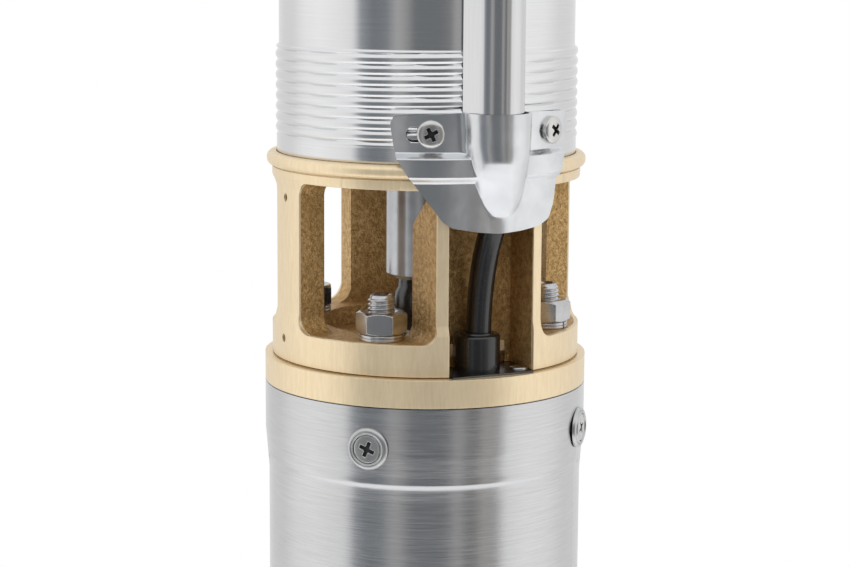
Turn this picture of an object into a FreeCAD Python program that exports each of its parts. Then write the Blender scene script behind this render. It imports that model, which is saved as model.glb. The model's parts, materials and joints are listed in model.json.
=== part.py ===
"""Borehole submersible pump, 4 inch, standing upright on its motor's flat base.

The pump's axis is Z, the motor's base is at z = 0 and the cable guard faces -Y. Pieces that
belong to the guard's side are drawn with the guard along their own +X and turned by
GUARD_TURN. Every size is a cell of the sheet; PLACES names the heights and radii that are
worked out from them.
"""
import FreeCAD, Part
import math
import os
import re

import Sketcher

SIZES = {
    # Motor
    "motor_length": 300.0,        # base to the top face of the motor's flange
    "motor_radius": 47.7,
    "motor_wall": 1.2,
    "collar_step": 1.05,          # collar and brass flange beyond the barrel
    "flange_thickness": 8.2,
    "collar_length": 14.8,        # straight part of the expanded collar
    "collar_taper": 13.0,         # neck from the collar down to the barrel
    "skirt_length": 34.0,
    "skirt_wall": 7.0,
    "flange_plate": 14.0,
    "pilot_radius": 31.5,
    "pilot_height": 3.8,
    "shell_screw_drop": 20.5,     # screw axis below the flange's top face
    "shell_screw_radius": 2.5,
    "shell_screw_head": 4.2,
    "shell_screw_length": 9.0,
    "cup_washer_radius": 6.3,
    "cup_washer_height": 1.5,
    "cup_washer_lip": 0.8,
    "cup_washer_play": 0.15,
    "screw_rim": 0.3,
    "screw_dome": 0.6,
    "base_rim_height": 10.0,
    "base_spigot_height": 22.0,
    "base_spigot_wall": 7.0,
    "base_floor_height": 11.0,
    "base_floor_wall": 3.0,
    "base_chamfer": 1.5,
    "base_screw_height": 21.0,
    "diaphragm_radius": 36.0,
    "diaphragm_seat": 31.0,
    "diaphragm_depth": 6.0,
    "diaphragm_wall": 1.6,
    "diaphragm_crown_gap": 1.5,
    "diaphragm_crown_radius": 16.0,
    "diaphragm_rim": 4.0,
    "cover_wall": 1.6,
    "cover_depth": 2.0,
    "cover_hole_radius": 3.0,
    "cover_hole_circle": 18.6,
    # Motor bearings and shaft
    "journal_radius": 10.0,
    "bush_wall": 3.0,
    "bush_length": 18.0,
    "boss_radius": 18.0,
    "bracket_thickness": 8.0,
    "bracket_boss_height": 20.0,
    "pad_inner": 12.0,
    "pad_outer": 26.0,
    "pad_thickness": 6.0,
    "pad_gap_angle": 12.0,
    "thrust_disc_radius": 27.0,
    "thrust_disc_thickness": 6.0,
    "film_gap": 0.05,
    "stator_length": 160.0,
    "stator_bore": 26.5,
    "slot_depth": 9.0,
    "slot_width": 6.0,
    "slot_floor": 29.5,
    "winding_space": 20.0,
    "winding_height": 14.0,
    "winding_inner": 30.5,
    "winding_rim": 4.0,
    "winding_clearance": 0.25,
    "winding_lift": 1.0,          # end windings above the core's faces
    "air_gap": 0.5,
    "rotor_ring_height": 8.0,
    "rotor_ring_step": 3.0,
    "core_shaft_radius": 13.0,
    "spline_radius": 7.15,
    "shaft_projection": 38.1,
    "shaft_end_chamfer": 1.2,
    "seal_radius": 12.0,
    "seal_depth": 10.0,
    "seal_height": 6.0,
    "seal_bevel": 1.5,
    "slinger_height": 13.0,
    "slinger_thickness": 6.0,
    "slinger_radius": 9.7,
    "slinger_lip": 1.2,
    "slinger_edge": 2.0,
    # Studs, 76.2 mm bolt circle
    "bolt_circle_radius": 38.1,
    "stud_radius": 4.0,
    "stud_depth": 12.0,
    "stud_height": 22.9,
    "stud_chamfer": 0.8,
    "stud_hole_play": 0.3,
    "nut_flats": 13.0,
    "nut_height": 6.5,
    "washer_radius": 6.6,
    "washer_thickness": 1.9,
    "washer_split": 1.2,
    # Lead gland
    "gland_offset": 35.8,
    "gland_radius": 6.2,
    "gland_height": 9.6,
    "gland_collar": 1.4,
    "gland_depth": 8.0,
    "gland_corner": 0.8,
    "gland_plate_thickness": 1.5,
    "gland_plate_half_width": 13.0,
    "gland_plate_depth": 14.0,
    "gland_plate_play": 0.2,
    "gland_screw_offset": 10.4,
    "gland_screw_place": 36.0,
    "gland_screw_radius": 1.5,
    "gland_screw_head": 2.4,
    # Suction casing
    "casing_height": 60.5,        # flange face to the foot of the pump barrel
    "foot_step": 2.25,            # flange beyond the casing's foot
    "foot_bore": 31.8,
    "foot_chamfer": 0.5,
    "foot_rim_height": 12.2,
    "foot_thickness": 9.6,
    "post_step": 0.7,
    "post_inner": 38.0,
    "post_half_width": 8.5,
    "window_height": 44.4,
    "post_foot_fillet": 5.2,
    "web_foot_fillet": 4.0,
    "window_head_fillet": 4.2,
    "recess_top": 51.8,
    "band_step": 0.05,
    "bead_step": 1.5,
    "bead_foot": 57.2,
    "bead_height": 4.0,
    "bead_corner": 1.7,
    "bead_groove": 0.4,
    "bead_lip_gap": 0.1,
    "ring_taper": 3.0,
    "channel_half_width": 13.6,
    "web_wall": 3.2,
    "web_inner": 26.3,
    "web_foot": 7.0,
    "web_slope_foot": 42.6,
    "web_slope_head": 50.0,
    "cable_notch_radius": 40.5,
    "cable_notch_half_width": 10.8,
    "strainer_hole_radius": 1.25,
    "strainer_hole_low": 6.9,
    "strainer_hole_high": 48.8,
    "strainer_hole_depth": 5.0,
    # Pump barrel
    "barrel_radius": 44.25,
    "barrel_wall": 1.2,
    "rib_crest": 45.2,
    "rib_valley": 44.5,
    "rib_pitch": 3.1,
    "rib_margin": 5.0,
    "band_end_radius": 45.0,
    "thread_length": 33.0,
    "spigot_clearance": 0.15,
    "spigot_wall": 4.5,
    # Stages
    "stage_pitch": 28.0,
    "bowl_wall": 1.6,
    "plate_wall": 2.0,
    "diffuser_height": 17.0,
    "diffuser_radius": 36.5,
    "impeller_radius": 36.0,
    "eye_radius": 14.0,
    "eye_wall": 1.3,
    "impeller_foot": 4.0,
    "shroud_wall": 1.5,
    "vane_height": 6.5,
    "vane_wall": 1.6,
    "vane_radius": 24.0,
    "vane_centre": 15.0,
    "guide_radius": 24.0,
    "guide_centre": 19.0,
    "guide_inner": 16.0,
    "hub_radius": 9.5,
    "hub_gap": 1.0,
    "running_gap": 0.3,
    "hexagon_flats": 12.0,
    "hexagon_clearance": 0.05,
    "sleeve_radius": 7.9,
    "spider_height": 12.0,
    "spider_rim": 3.9,
    "spider_hub": 13.0,
    "spoke_width": 5.0,
    "top_bush_radius": 10.9,
    "bearing_clearance": 0.05,
    "shaft_nut_flats": 17.0,
    "shaft_nut_height": 7.0,
    # Coupling
    "coupling_radius": 12.0,
    "coupling_foot": 22.8,
    "coupling_length": 48.0,
    "coupling_chamfer": 1.2,
    "coupling_web": 2.5,
    # Discharge head and check valve
    "head_height": 62.0,
    "head_band_height": 16.0,
    "neck_radius": 30.0,
    "neck_foot": 32.0,
    "outlet_radius": 19.5,
    "outlet_depth": 22.0,
    "throat_radius": 17.5,
    "chamber_radius": 25.0,
    "head_notch_radius": 44.0,
    "lug_reach": 46.0,
    "lug_width": 10.0,
    "lug_foot": 22.0,
    "lug_height": 22.0,
    "lug_eye_radius": 4.5,
    "lug_eye_offset": 38.0,
    "lug_eye_height": 13.2,
    "lug_root": 3.0,
    "lug_slope": 3.0,
    "lug_toe_corner": 2.5,
    "lug_head_corner": 6.0,
    "seat_thickness": 8.0,
    "seat_drop": 3.0,
    "seat_bore": 15.5,
    "seat_bevel": 2.0,
    "valve_seal_width": 5.0,
    "poppet_radius": 20.0,
    "poppet_thickness": 4.0,
    "poppet_bevel": 3.0,
    "poppet_boss": 1.0,
    "stem_radius": 4.0,
    "stem_end": 1.0,
    "valve_seal_thickness": 2.5,
    "valve_travel": 10.0,
    "cage_height": 7.0,
    "cage_rim": 2.4,
    "cage_boss": 7.5,
    "spring_radius": 6.4,
    "spring_wire": 0.6,
    "spring_turns": 5.0,
    "spring_closed": 13.5,
    # Cable guard and its two holders
    "guard_wall": 0.8,
    "guard_half_width": 9.1,
    "guard_seat": 45.4,
    "guard_crown": 54.3,
    "guard_crown_half_width": 5.8,
    "guard_corner": 7.9,
    "guard_foot": 64.0,
    "shoe_top": 75.5,
    "shoe_seat": 45.5,
    "shoe_step_play": 0.3,
    "shoe_step_top": 64.3,
    "shoe_step_foot": 56.4,
    "shoe_tongue_play": 0.35,
    "shoe_toe": 41.8,
    "shoe_half_angle": 37.0,
    "shoe_toe_half_width": 15.5,
    "shoe_toe_corner": 5.0,
    "shoe_waist_half_width": 27.5,
    "shoe_waist": 62.5,
    "shoe_top_half_width": 28.7,
    "shoe_top_corner": 2.5,
    "shoe_rise": 1.2,
    "hump_radius": 10.3,
    "hump_centre": 45.3,
    "hump_foot": 57.0,
    "hump_nose": 10.5,
    "guard_screw_angle": 24.0,
    "guard_screw_height": 70.2,
    "guard_screw_radius": 2.0,
    "guard_screw_head": 3.9,
    "guard_screw_head_height": 2.2,
    "guard_screw_crown": 1.8,
    "guard_screw_length": 6.0,
    "slot_half_length": 4.2,
    "slot_half_height": 2.2,
    "slot_corner": 1.9,
    "clip_drop": 4.0,
    "clip_height": 13.0,
    # Motor lead
    "lead_radius": 3.75,
    "lead_coil_radius": 41.0,
    "sheath_end_radius": 4.1,
    "sheath_end_length": 12.0,
    "core_radius": 1.1,
    "core_pitch": 2.3,
    "core_length": 22.0,
    "core_drop": 1.3,
    "ferrule_radius": 0.8,
    "ferrule_length": 7.0,
    # Clearances
    "fit_clearance": 0.05,
    "overcut": 1.0,               # how far a cutting shape runs past what it cuts
    "edge_bevel": 1.0,
}

STAGES = 5
STUDS = 4
RIBS = 9
IMPELLER_VANES = 6
GUIDE_VANES = 8
THRUST_PADS = 6
STATOR_SLOTS = 12
COVER_HOLES = 6
SPIDER_ARMS = 4
CAGE_ARMS = 3
LEAD_CORES = 3

PLACES = {
    "flange_radius": "motor_radius + collar_step",
    "foot_radius": "flange_radius - foot_step",
    "post_radius": "foot_radius - post_step",
    "band_radius": "foot_radius - band_step",
    "bead_radius": "foot_radius + bead_step",
    "winding_outer": "shell_bore - winding_rim",
    "shoe_step_radius": "bead_radius + shoe_step_play",
    "shoe_tongue_radius": "band_radius + shoe_tongue_play",
    "groove": "motor_length",
    "collar_top": "groove - flange_thickness",
    "collar_foot": "collar_top - collar_length",
    "neck_foot_z": "collar_foot - collar_taper",
    "shell_bore": "motor_radius - motor_wall",
    "collar_bore": "flange_radius - motor_wall",
    "skirt_foot": "groove - skirt_length",
    "shell_screw_z": "groove - shell_screw_drop",
    "base_spigot_top": "base_rim_height + base_spigot_height",
    "base_floor_top": "base_floor_height + base_floor_wall",
    "pad_top": "base_floor_top + pad_thickness",
    "disc_foot": "pad_top + film_gap",
    "disc_top": "disc_foot + thrust_disc_thickness",
    "bracket_top": "base_spigot_top + bracket_thickness",
    "bracket_boss_top": "base_spigot_top + bracket_boss_height",
    "stator_foot": "bracket_top + winding_space",
    "stator_top": "stator_foot + stator_length",
    "bush_radius": "journal_radius + bush_wall",
    "seal_foot": "groove - seal_depth",
    "upper_bush_foot": "seal_foot - bush_length",
    "foot_top": "groove + foot_thickness",
    "window_top": "foot_top + window_height",
    "barrel_foot": "groove + casing_height",
    "barrel_bore": "barrel_radius - barrel_wall",
    "spigot_radius": "barrel_bore - spigot_clearance",
    "spigot_bore": "spigot_radius - spigot_wall",
    "stack_foot": "barrel_foot + thread_length",
    "stack_top": "stack_foot + stages * stage_pitch",
    "head_spigot_foot": "stack_top + spider_height",
    "barrel_top": "head_spigot_foot + thread_length",
    "hub_foot": "impeller_foot",
    "hub_top": "diffuser_height - hub_gap",
    "sleeve_length": "stage_pitch - hub_top + hub_foot",
    "pump_shaft_foot": "groove + shaft_projection + coupling_web",
    "coupling_foot_z": "groove + coupling_foot",
    "coupling_top": "coupling_foot_z + coupling_length",
    "spider_top": "stack_top + spider_height",
    "seat_top": "barrel_top - seat_drop",
    "seal_top": "seat_top + valve_seal_thickness",
    "poppet_top": "seal_top + poppet_thickness",
    "cage_foot": "poppet_top + valve_travel + spring_closed",
    "chamber_top_z": "cage_foot + cage_height",
    "head_top": "barrel_top + head_height",
    "clip_top_z": "barrel_top - clip_drop",
    "clip_foot_z": "clip_top_z - clip_height",
    "guard_top_z": "barrel_top + head_band_height",
    "washer_top": "foot_top + washer_thickness",
    "gland_top": "groove + gland_height + gland_collar",
}

GUARD_TURN = -90.0
STUD_TURN = -45.0
BOWL_TURN = 17.0
RIB_VALLEY_TURN = 0.15
RIB_CREST_TURN = 0.5

doc = FreeCAD.newDocument("borehole_pump")
sheet = doc.addObject("Spreadsheet::Sheet", "sizes")
SIZES["stages"] = STAGES
for row, (name, size) in enumerate(SIZES.items(), 1):
    sheet.set("A%d" % row, name)
    sheet.set("B%d" % row, str(size))
    sheet.setAlias("B%d" % row, name)
doc.recompute()


def cells(expression):
    """Spell out an expression: places become their sizes, sizes become cells of the sheet."""
    def spell(match):
        word = match.group(0)
        if word in PLACES:
            return "(" + cells(PLACES[word]) + ")"
        return "sizes." + word if word in SIZES else word
    return re.sub(r"[a-z_]+", spell, expression)


def number(expression):
    """Present value of an expression in millimetres or degrees."""
    return float(sheet.evalExpression(cells(expression)))


def vector(*values):
    return FreeCAD.Vector(*values)


parts = []


def new_body(label, turn=0.0):
    """A sub-part of the pump, drawn about the pump's axis and turned about it by degrees."""
    body = doc.addObject("PartDesign::Body", label)
    body.Label = label
    body.AllowCompound = True
    body.Placement = FreeCAD.Placement(vector(0, 0, 0),
                                       FreeCAD.Rotation(vector(0, 0, 1), turn))
    parts.append(body)
    return body


def datum(body, role):
    """One of the body's own origin planes or axes, found by its role."""
    return [one for one in body.Origin.OriginFeatures if one.Role == role][0]


def new_sketch(body, plane, shift=("0", "0", "0"), turn=0.0):
    """Empty sketch on an origin plane, moved along its own X, Y and normal and turned
    about its own Y."""
    sketch = body.newObject("Sketcher::SketchObject", body.Label + "_sketch")
    sketch.AttachmentSupport = [(datum(body, plane), "")]
    sketch.MapMode = "FlatFace"
    sketch.AttachmentOffset = FreeCAD.Placement(vector(0, 0, 0),
                                                FreeCAD.Rotation(vector(0, 1, 0), turn))
    for axis, distance in zip("xyz", shift):
        if distance != "0":
            sketch.setExpression(".AttachmentOffset.Base." + axis, cells(distance))
    return sketch


def place_point(sketch, geometry, end, corner):
    """Hold one point of the sketch at a pair of expressions."""
    for kind, expression in zip(("DistanceX", "DistanceY"), corner):
        if expression == "0":
            axis = -2 if kind == "DistanceX" else -1
            sketch.addConstraint(Sketcher.Constraint("PointOnObject", geometry, end, axis))
            continue
        index = sketch.addConstraint(
            Sketcher.Constraint(kind, -1, 1, geometry, end, number(expression)))
        sketch.setExpression("Constraints[%d]" % index, cells(expression))


def corner_arc(before, here, after, radius):
    """Tangent points and arc that round a corner, and whether the outline turns left."""
    first = (before - here).normalize()
    second = (after - here).normalize()
    half = first.getAngle(second) / 2
    reach = radius / math.tan(half)
    start = here + first * reach
    end = here + second * reach
    centre = here + (first + second).normalize() * (radius / math.sin(half))
    left = first.cross(second).z < 0
    ends = (start, end) if left else (end, start)
    angles = [math.atan2(point.y - centre.y, point.x - centre.x) for point in ends]
    if angles[1] < angles[0]:
        angles[1] += 2 * math.pi
    circle = Part.Circle(centre, vector(0, 0, 1), radius)
    return start, end, Part.ArcOfCircle(circle, angles[0], angles[1]), left


def draw(sketch, corners):
    """Closed outline through the corners, each a pair of expressions or, where the corner
    is rounded, a pair and a radius."""
    count = len(corners)
    points = [vector(number(corner[0]), number(corner[1]), 0) for corner in corners]
    starts = list(points)
    ends = points[1:] + points[:1]
    arcs = {}
    for index, corner in enumerate(corners):
        if len(corner) == 3:
            start, end, arc, left = corner_arc(points[index - 1], points[index],
                                               points[(index + 1) % count], number(corner[2]))
            ends[index - 1] = start
            starts[index] = end
            arcs[index] = (arc, left)
    lines = [sketch.addGeometry(Part.LineSegment(starts[index], ends[index]), False)
             for index in range(count)]
    for index, corner in enumerate(corners):
        incoming = lines[index - 1]
        outgoing = lines[index]
        if index not in arcs:
            sketch.addConstraint(Sketcher.Constraint("Coincident", incoming, 2, outgoing, 1))
            place_point(sketch, outgoing, 1, corner)
            continue
        arc, left = arcs[index]
        curve = sketch.addGeometry(arc, False)
        vertex = sketch.addGeometry(Part.Point(points[index]), True)
        near, far = (1, 2) if left else (2, 1)
        sketch.addConstraint(Sketcher.Constraint("Tangent", incoming, 2, curve, near))
        sketch.addConstraint(Sketcher.Constraint("Tangent", outgoing, 1, curve, far))
        sketch.addConstraint(Sketcher.Constraint("PointOnObject", vertex, 1, incoming))
        sketch.addConstraint(Sketcher.Constraint("PointOnObject", vertex, 1, outgoing))
        radius = sketch.addConstraint(
            Sketcher.Constraint("Radius", curve, number(corner[2])))
        sketch.setExpression("Constraints[%d]" % radius, cells(corner[2]))
        place_point(sketch, vertex, 1, corner)
    return sketch


def draw_circle(sketch, centre, radius):
    """Circle about a pair of expressions."""
    middle = vector(number(centre[0]), number(centre[1]), 0)
    ring = sketch.addGeometry(Part.Circle(middle, vector(0, 0, 1), number(radius)), False)
    place_point(sketch, ring, 3, centre)
    index = sketch.addConstraint(Sketcher.Constraint("Radius", ring, number(radius)))
    sketch.setExpression("Constraints[%d]" % index, cells(radius))
    return sketch


def draw_half_ring(sketch, centre, radius, wall):
    """Half of a ring above the sketch's X axis, centred on that axis: one curved vane."""
    middle = vector(number(centre), 0, 0)
    curves = []
    for size in (radius, "(" + radius + ") + " + wall):
        circle = Part.Circle(middle, vector(0, 0, 1), number(size))
        curve = sketch.addGeometry(Part.ArcOfCircle(circle, 0, math.pi), False)
        place_point(sketch, curve, 3, (centre, "0"))
        index = sketch.addConstraint(Sketcher.Constraint("Radius", curve, number(size)))
        sketch.setExpression("Constraints[%d]" % index, cells(size))
        for end in (1, 2):
            sketch.addConstraint(Sketcher.Constraint("PointOnObject", curve, end, -1))
        curves.append(curve)
    for end, side in ((1, 1), (2, -1)):
        tips = [middle + vector(side * number(size), 0, 0)
                for size in (radius, "(" + radius + ") + " + wall)]
        line = sketch.addGeometry(Part.LineSegment(tips[0], tips[1]), False)
        sketch.addConstraint(Sketcher.Constraint("Coincident", line, 1, curves[0], end))
        sketch.addConstraint(Sketcher.Constraint("Coincident", line, 2, curves[1], end))
    return sketch


def feature(body, kind, sketch):
    made = body.newObject("PartDesign::" + kind, body.Label + "_" + kind.lower())
    made.Profile = sketch
    return made


def revolve(body, corners, kind="Revolution", angle=360.0, shift=("0", "0", "0")):
    """Turn an outline of radius and height about the pump's axis, or about an axis
    parallel to it through the shift."""
    sketch = draw(new_sketch(body, "XZ_Plane", shift), corners)
    made = feature(body, kind, sketch)
    made.ReferenceAxis = (sketch, ["V_Axis"])
    made.Angle = angle
    return made


def turn_radially(body, corners, height, kind="Revolution", turn=0.0, offset="0"):
    """Turn an outline of distance from the pump's axis and radius about a level radial
    axis at the height, or about one beside it."""
    sketch = draw(new_sketch(body, "XZ_Plane", ("0", height, offset), turn), corners)
    made = feature(body, kind, sketch)
    made.ReferenceAxis = (sketch, ["H_Axis"])
    made.Angle = 360.0
    return made


def extrude(body, sketch, length, kind="Pad", midplane=False, reverse=False):
    """Pad or pocket a sketch along its normal."""
    made = feature(body, kind, sketch)
    made.SideType = "Symmetric" if midplane else "One side"
    made.Reversed = reverse
    made.setExpression("Length", cells(length))
    body.Tip = made
    return made


def repeat(body, features, count, angle=360.0):
    """Copies of features about the pump's axis, the first and last `angle` apart unless
    they close the circle."""
    pattern = body.newObject("PartDesign::PolarPattern", body.Label + "_pattern")
    pattern.Originals = features
    pattern.Axis = (datum(body, "Z_Axis"), [""])
    pattern.Angle = angle
    pattern.Occurrences = count
    body.Tip = pattern
    return pattern


def box_corners(low, foot, high, top):
    return [(low, foot), (high, foot), (high, top), (low, top)]


def ring(label, inner, outer, foot, top):
    """Plain ring or disc about the pump's axis."""
    body = new_body(label)
    revolve(body, box_corners(inner, foot, outer, top))
    return body


def hexagon(flats):
    """Corners of a hexagon with two flats across the sketch's X."""
    half = "(" + flats + ") / 2"
    slope = half + " * tan(30 deg)"
    point = half + " / cos(30 deg)"
    return [(half, "-(" + slope + ")"), (half, slope), ("0", point),
            ("-(" + half + ")", slope), ("-(" + half + ")", "-(" + slope + ")"),
            ("0", "-(" + point + ")")]


def round_hole(body, centre, radius, foot, length, count=1):
    """Upright hole, or a circle of them."""
    sketch = draw_circle(new_sketch(body, "XY_Plane", ("0", "0", foot)), centre, radius)
    hole = extrude(body, sketch, length, "Pocket", reverse=True)
    return repeat(body, [hole], count) if count > 1 else hole


def radial_hole(body, radius, height, near, far, turn=0.0):
    """Level hole between two distances from the pump's axis."""
    return turn_radially(body, box_corners(near, "0", far, radius), height, "Groove", turn)


# Motor

def motor_shell():
    """Stainless tube, expanded into a collar over the flange's skirt."""
    body = new_body("motor_shell", STUD_TURN)
    revolve(body, [("shell_bore", "base_rim_height"), ("motor_radius", "base_rim_height"),
                   ("motor_radius", "neck_foot_z", "collar_taper"),
                   ("flange_radius", "collar_foot", "collar_taper / 2"),
                   ("flange_radius", "collar_top"), ("collar_bore", "collar_top"),
                   ("collar_bore", "collar_foot", "collar_taper / 2"),
                   ("shell_bore", "neck_foot_z", "collar_taper")])
    for height, reach in (("shell_screw_z", "flange_radius"), ("base_screw_height",
                                                               "motor_radius")):
        hole = radial_hole(body, "shell_screw_radius + fit_clearance", height,
                           reach + " - 2 * motor_wall", reach + " + motor_wall")
        repeat(body, [hole], STUDS)


def motor_top_flange():
    """Brass flange with its pilot, the skirt inside the barrel and the bearing boss."""
    body = new_body("motor_top_flange", STUD_TURN)
    skirt = "collar_bore - fit_clearance"
    lower = "shell_bore - fit_clearance"
    revolve(body, [("bush_radius", "upper_bush_foot"), ("boss_radius", "upper_bush_foot"),
                   ("boss_radius", "groove - flange_plate"),
                   (lower + " - skirt_wall", "groove - flange_plate"),
                   (lower + " - skirt_wall", "skirt_foot"), (lower, "skirt_foot"),
                   (lower, "collar_foot - collar_taper / 2"),
                   (skirt, "collar_foot + fit_clearance"), (skirt, "collar_top"),
                   ("flange_radius", "collar_top"), ("flange_radius", "groove"),
                   ("pilot_radius", "groove"), ("pilot_radius", "groove + pilot_height"),
                   ("seal_radius + fit_clearance", "groove + pilot_height"),
                   ("seal_radius + fit_clearance", "seal_foot"), ("bush_radius", "seal_foot")])
    round_hole(body, ("bolt_circle_radius", "0"), "stud_radius + fit_clearance",
               "groove - stud_depth", "stud_depth", STUDS)
    hole = radial_hole(body, "shell_screw_radius + fit_clearance", "shell_screw_z",
                       "flange_radius - shell_screw_length", "flange_radius")
    repeat(body, [hole], STUDS)
    gland = new_sketch(body, "XY_Plane", ("0", "0", "skirt_foot"))
    centre = ("gland_offset * cos(45 deg)", "-(gland_offset * sin(45 deg))")
    draw_circle(gland, centre, "gland_radius + fit_clearance")
    extrude(body, gland, "skirt_length + pilot_height", "Pocket", reverse=True)


def shell_screws():
    """Countersunk screws with cross recesses, four at the flange and four at the base."""
    for label, height, reach in (("shell_screws", "shell_screw_z", "flange_radius"),
                                 ("base_screws", "base_screw_height", "motor_radius")):
        body = new_body(label, STUD_TURN)
        seat = reach + " + cup_washer_height"
        tip = reach + " - shell_screw_length + fit_clearance"
        screw = turn_radially(body, [
            (tip, "0"), (seat + " + screw_dome", "0"), (seat, "shell_screw_head"),
            (seat + " - screw_rim", "shell_screw_head"),
            (reach + " + fit_clearance", "shell_screw_radius"),
            (tip, "shell_screw_radius")], height)
        repeat(body, [screw], STUDS)


def cup_washers():
    """Dished washers under the countersunk heads, at both ends of the motor."""
    body = new_body("cup_washers", STUD_TURN)
    for height, reach in (("shell_screw_z", "flange_radius"),
                          ("base_screw_height", "motor_radius")):
        seat = reach + " + cup_washer_height"
        head = "shell_screw_head + cup_washer_play"
        washer = turn_radially(body, [
            (reach + " + fit_clearance", "shell_screw_radius + cup_washer_play"),
            (seat + " - screw_rim", head), (seat, head),
            (seat, "shell_screw_head + cup_washer_lip"),
            (reach + " + fit_clearance", "cup_washer_radius")], height)
        repeat(body, [washer], STUDS)


def motor_base():
    """Brass end cap: flat rim to stand on, spigot in the barrel, floor over the diaphragm."""
    body = new_body("motor_base", STUD_TURN)
    spigot = "shell_bore - fit_clearance"
    revolve(body, [("diaphragm_radius", "0"), ("motor_radius - base_chamfer", "0"),
                   ("motor_radius", "base_chamfer"), ("motor_radius", "base_rim_height"),
                   (spigot, "base_rim_height"), (spigot, "base_spigot_top"),
                   (spigot + " - base_spigot_wall", "base_spigot_top"),
                   (spigot + " - base_spigot_wall", "base_floor_top"),
                   ("0", "base_floor_top"), ("0", "base_floor_height"),
                   ("diaphragm_seat", "base_floor_height"),
                   ("diaphragm_seat", "diaphragm_depth"),
                   ("diaphragm_radius", "diaphragm_depth")])
    hole = radial_hole(body, "shell_screw_radius + fit_clearance", "base_screw_height",
                       "motor_radius - shell_screw_length", "motor_radius + motor_wall")
    repeat(body, [hole], STUDS)


def diaphragm():
    """Dished rubber disc that lets the oil expand, and the drilled cover that holds it."""
    body = new_body("diaphragm")
    rim = "diaphragm_radius - fit_clearance"
    cover_top = "cover_depth + cover_wall"
    crown = "base_floor_height - diaphragm_crown_gap"
    revolve(body, [("0", crown + " - diaphragm_wall"),
                   ("diaphragm_crown_radius", crown + " - diaphragm_wall"),
                   ("diaphragm_seat - diaphragm_rim", cover_top), (rim, cover_top),
                   (rim, "diaphragm_depth"), ("diaphragm_seat - edge_bevel", "diaphragm_depth"),
                   ("diaphragm_crown_radius + edge_bevel", crown), ("0", crown)])
    cover = new_body("diaphragm_cover")
    revolve(cover, box_corners("0", "cover_depth", rim, cover_top))
    round_hole(cover, ("cover_hole_circle", "0"), "cover_hole_radius", "cover_depth",
               "cover_wall", COVER_HOLES)


def lower_bracket():
    """Brass bracket that carries the lower bush on top of the end cap."""
    body = new_body("lower_bracket")
    revolve(body, [("bush_radius", "base_spigot_top"),
                   ("shell_bore - fit_clearance", "base_spigot_top"),
                   ("shell_bore - fit_clearance", "bracket_top"),
                   ("boss_radius", "bracket_top"), ("boss_radius", "bracket_boss_top"),
                   ("bush_radius", "bracket_boss_top")])
    round_hole(body, ("(boss_radius + shell_bore) / 2", "0"), "cover_hole_radius",
               "base_spigot_top", "bracket_thickness", COVER_HOLES)


def motor_bearings():
    """Two carbon bushes and the tilting-pad thrust bearing."""
    bore = "journal_radius + bearing_clearance"
    ring("lower_bush", bore, "bush_radius - fit_clearance", "bracket_boss_top - bush_length",
         "bracket_boss_top")
    ring("upper_bush", bore, "bush_radius - fit_clearance", "upper_bush_foot", "seal_foot")
    pads = new_body("thrust_pads")
    half = "tan(%g deg - pad_gap_angle * 0.5 deg)" % (180.0 / THRUST_PADS)
    sector = draw(new_sketch(pads, "XY_Plane", ("0", "0", "base_floor_top")), [
        ("pad_inner", "-(pad_inner * " + half + ")"),
        ("pad_outer", "-(pad_outer * " + half + ")"),
        ("pad_outer", "pad_outer * " + half), ("pad_inner", "pad_inner * " + half)])
    repeat(pads, [extrude(pads, sector, "pad_thickness")], THRUST_PADS)
    ring("thrust_disc", "journal_radius", "thrust_disc_radius", "disc_foot", "disc_top")


def stator():
    """Laminated core with closed slots, and the windings that pass through them."""
    core = new_body("stator_core")
    revolve(core, box_corners("stator_bore", "stator_foot", "shell_bore - fit_clearance",
                              "stator_top"))
    half = "slot_width / 2"
    slot = draw(new_sketch(core, "XY_Plane", ("0", "0", "stator_foot")),
                box_corners("slot_floor", "-(" + half + ")", "slot_floor + slot_depth", half))
    repeat(core, [extrude(core, slot, "stator_length", "Pocket", reverse=True)], STATOR_SLOTS)
    windings = new_body("stator_windings")
    for foot in ("stator_foot - winding_height - winding_lift", "stator_top + winding_lift"):
        revolve(windings, box_corners("winding_inner", foot, "winding_outer",
                                      foot + " + winding_height"))
    inset = half + " - winding_clearance"
    bar = draw(new_sketch(windings, "XY_Plane", ("0", "0", "stator_foot - 2 * winding_lift")),
               box_corners("slot_floor + winding_lift + winding_clearance",
                           "-(" + inset + ")", "slot_floor + slot_depth - winding_clearance",
                           inset))
    repeat(windings, [extrude(windings, bar, "stator_length + 4 * winding_lift")],
           STATOR_SLOTS)


def rotor():
    """Squirrel-cage core with its end rings, on the motor's shaft."""
    core = new_body("rotor_core")
    outer = "stator_bore - air_gap"
    inner = "core_shaft_radius"
    ring_outer = outer + " - rotor_ring_step"
    revolve(core, [(inner, "stator_foot - rotor_ring_height"),
                   (ring_outer, "stator_foot - rotor_ring_height"),
                   (ring_outer, "stator_foot"), (outer, "stator_foot"),
                   (outer, "stator_top"), (ring_outer, "stator_top"),
                   (ring_outer, "stator_top + rotor_ring_height"),
                   (inner, "stator_top + rotor_ring_height")])
    shaft = new_body("motor_shaft")
    top = "groove + shaft_projection"
    revolve(shaft, [("0", "disc_foot + film_gap"), ("journal_radius", "disc_foot + film_gap"),
                    ("journal_radius", "stator_foot - rotor_ring_height"),
                    (inner, "stator_foot - rotor_ring_height"),
                    (inner, "stator_top + rotor_ring_height"),
                    ("journal_radius", "stator_top + rotor_ring_height"),
                    ("journal_radius", "seal_foot"), ("spline_radius", "seal_foot"),
                    ("spline_radius", top + " - shaft_end_chamfer"),
                    ("spline_radius - shaft_end_chamfer", top), ("0", top)])


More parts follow.
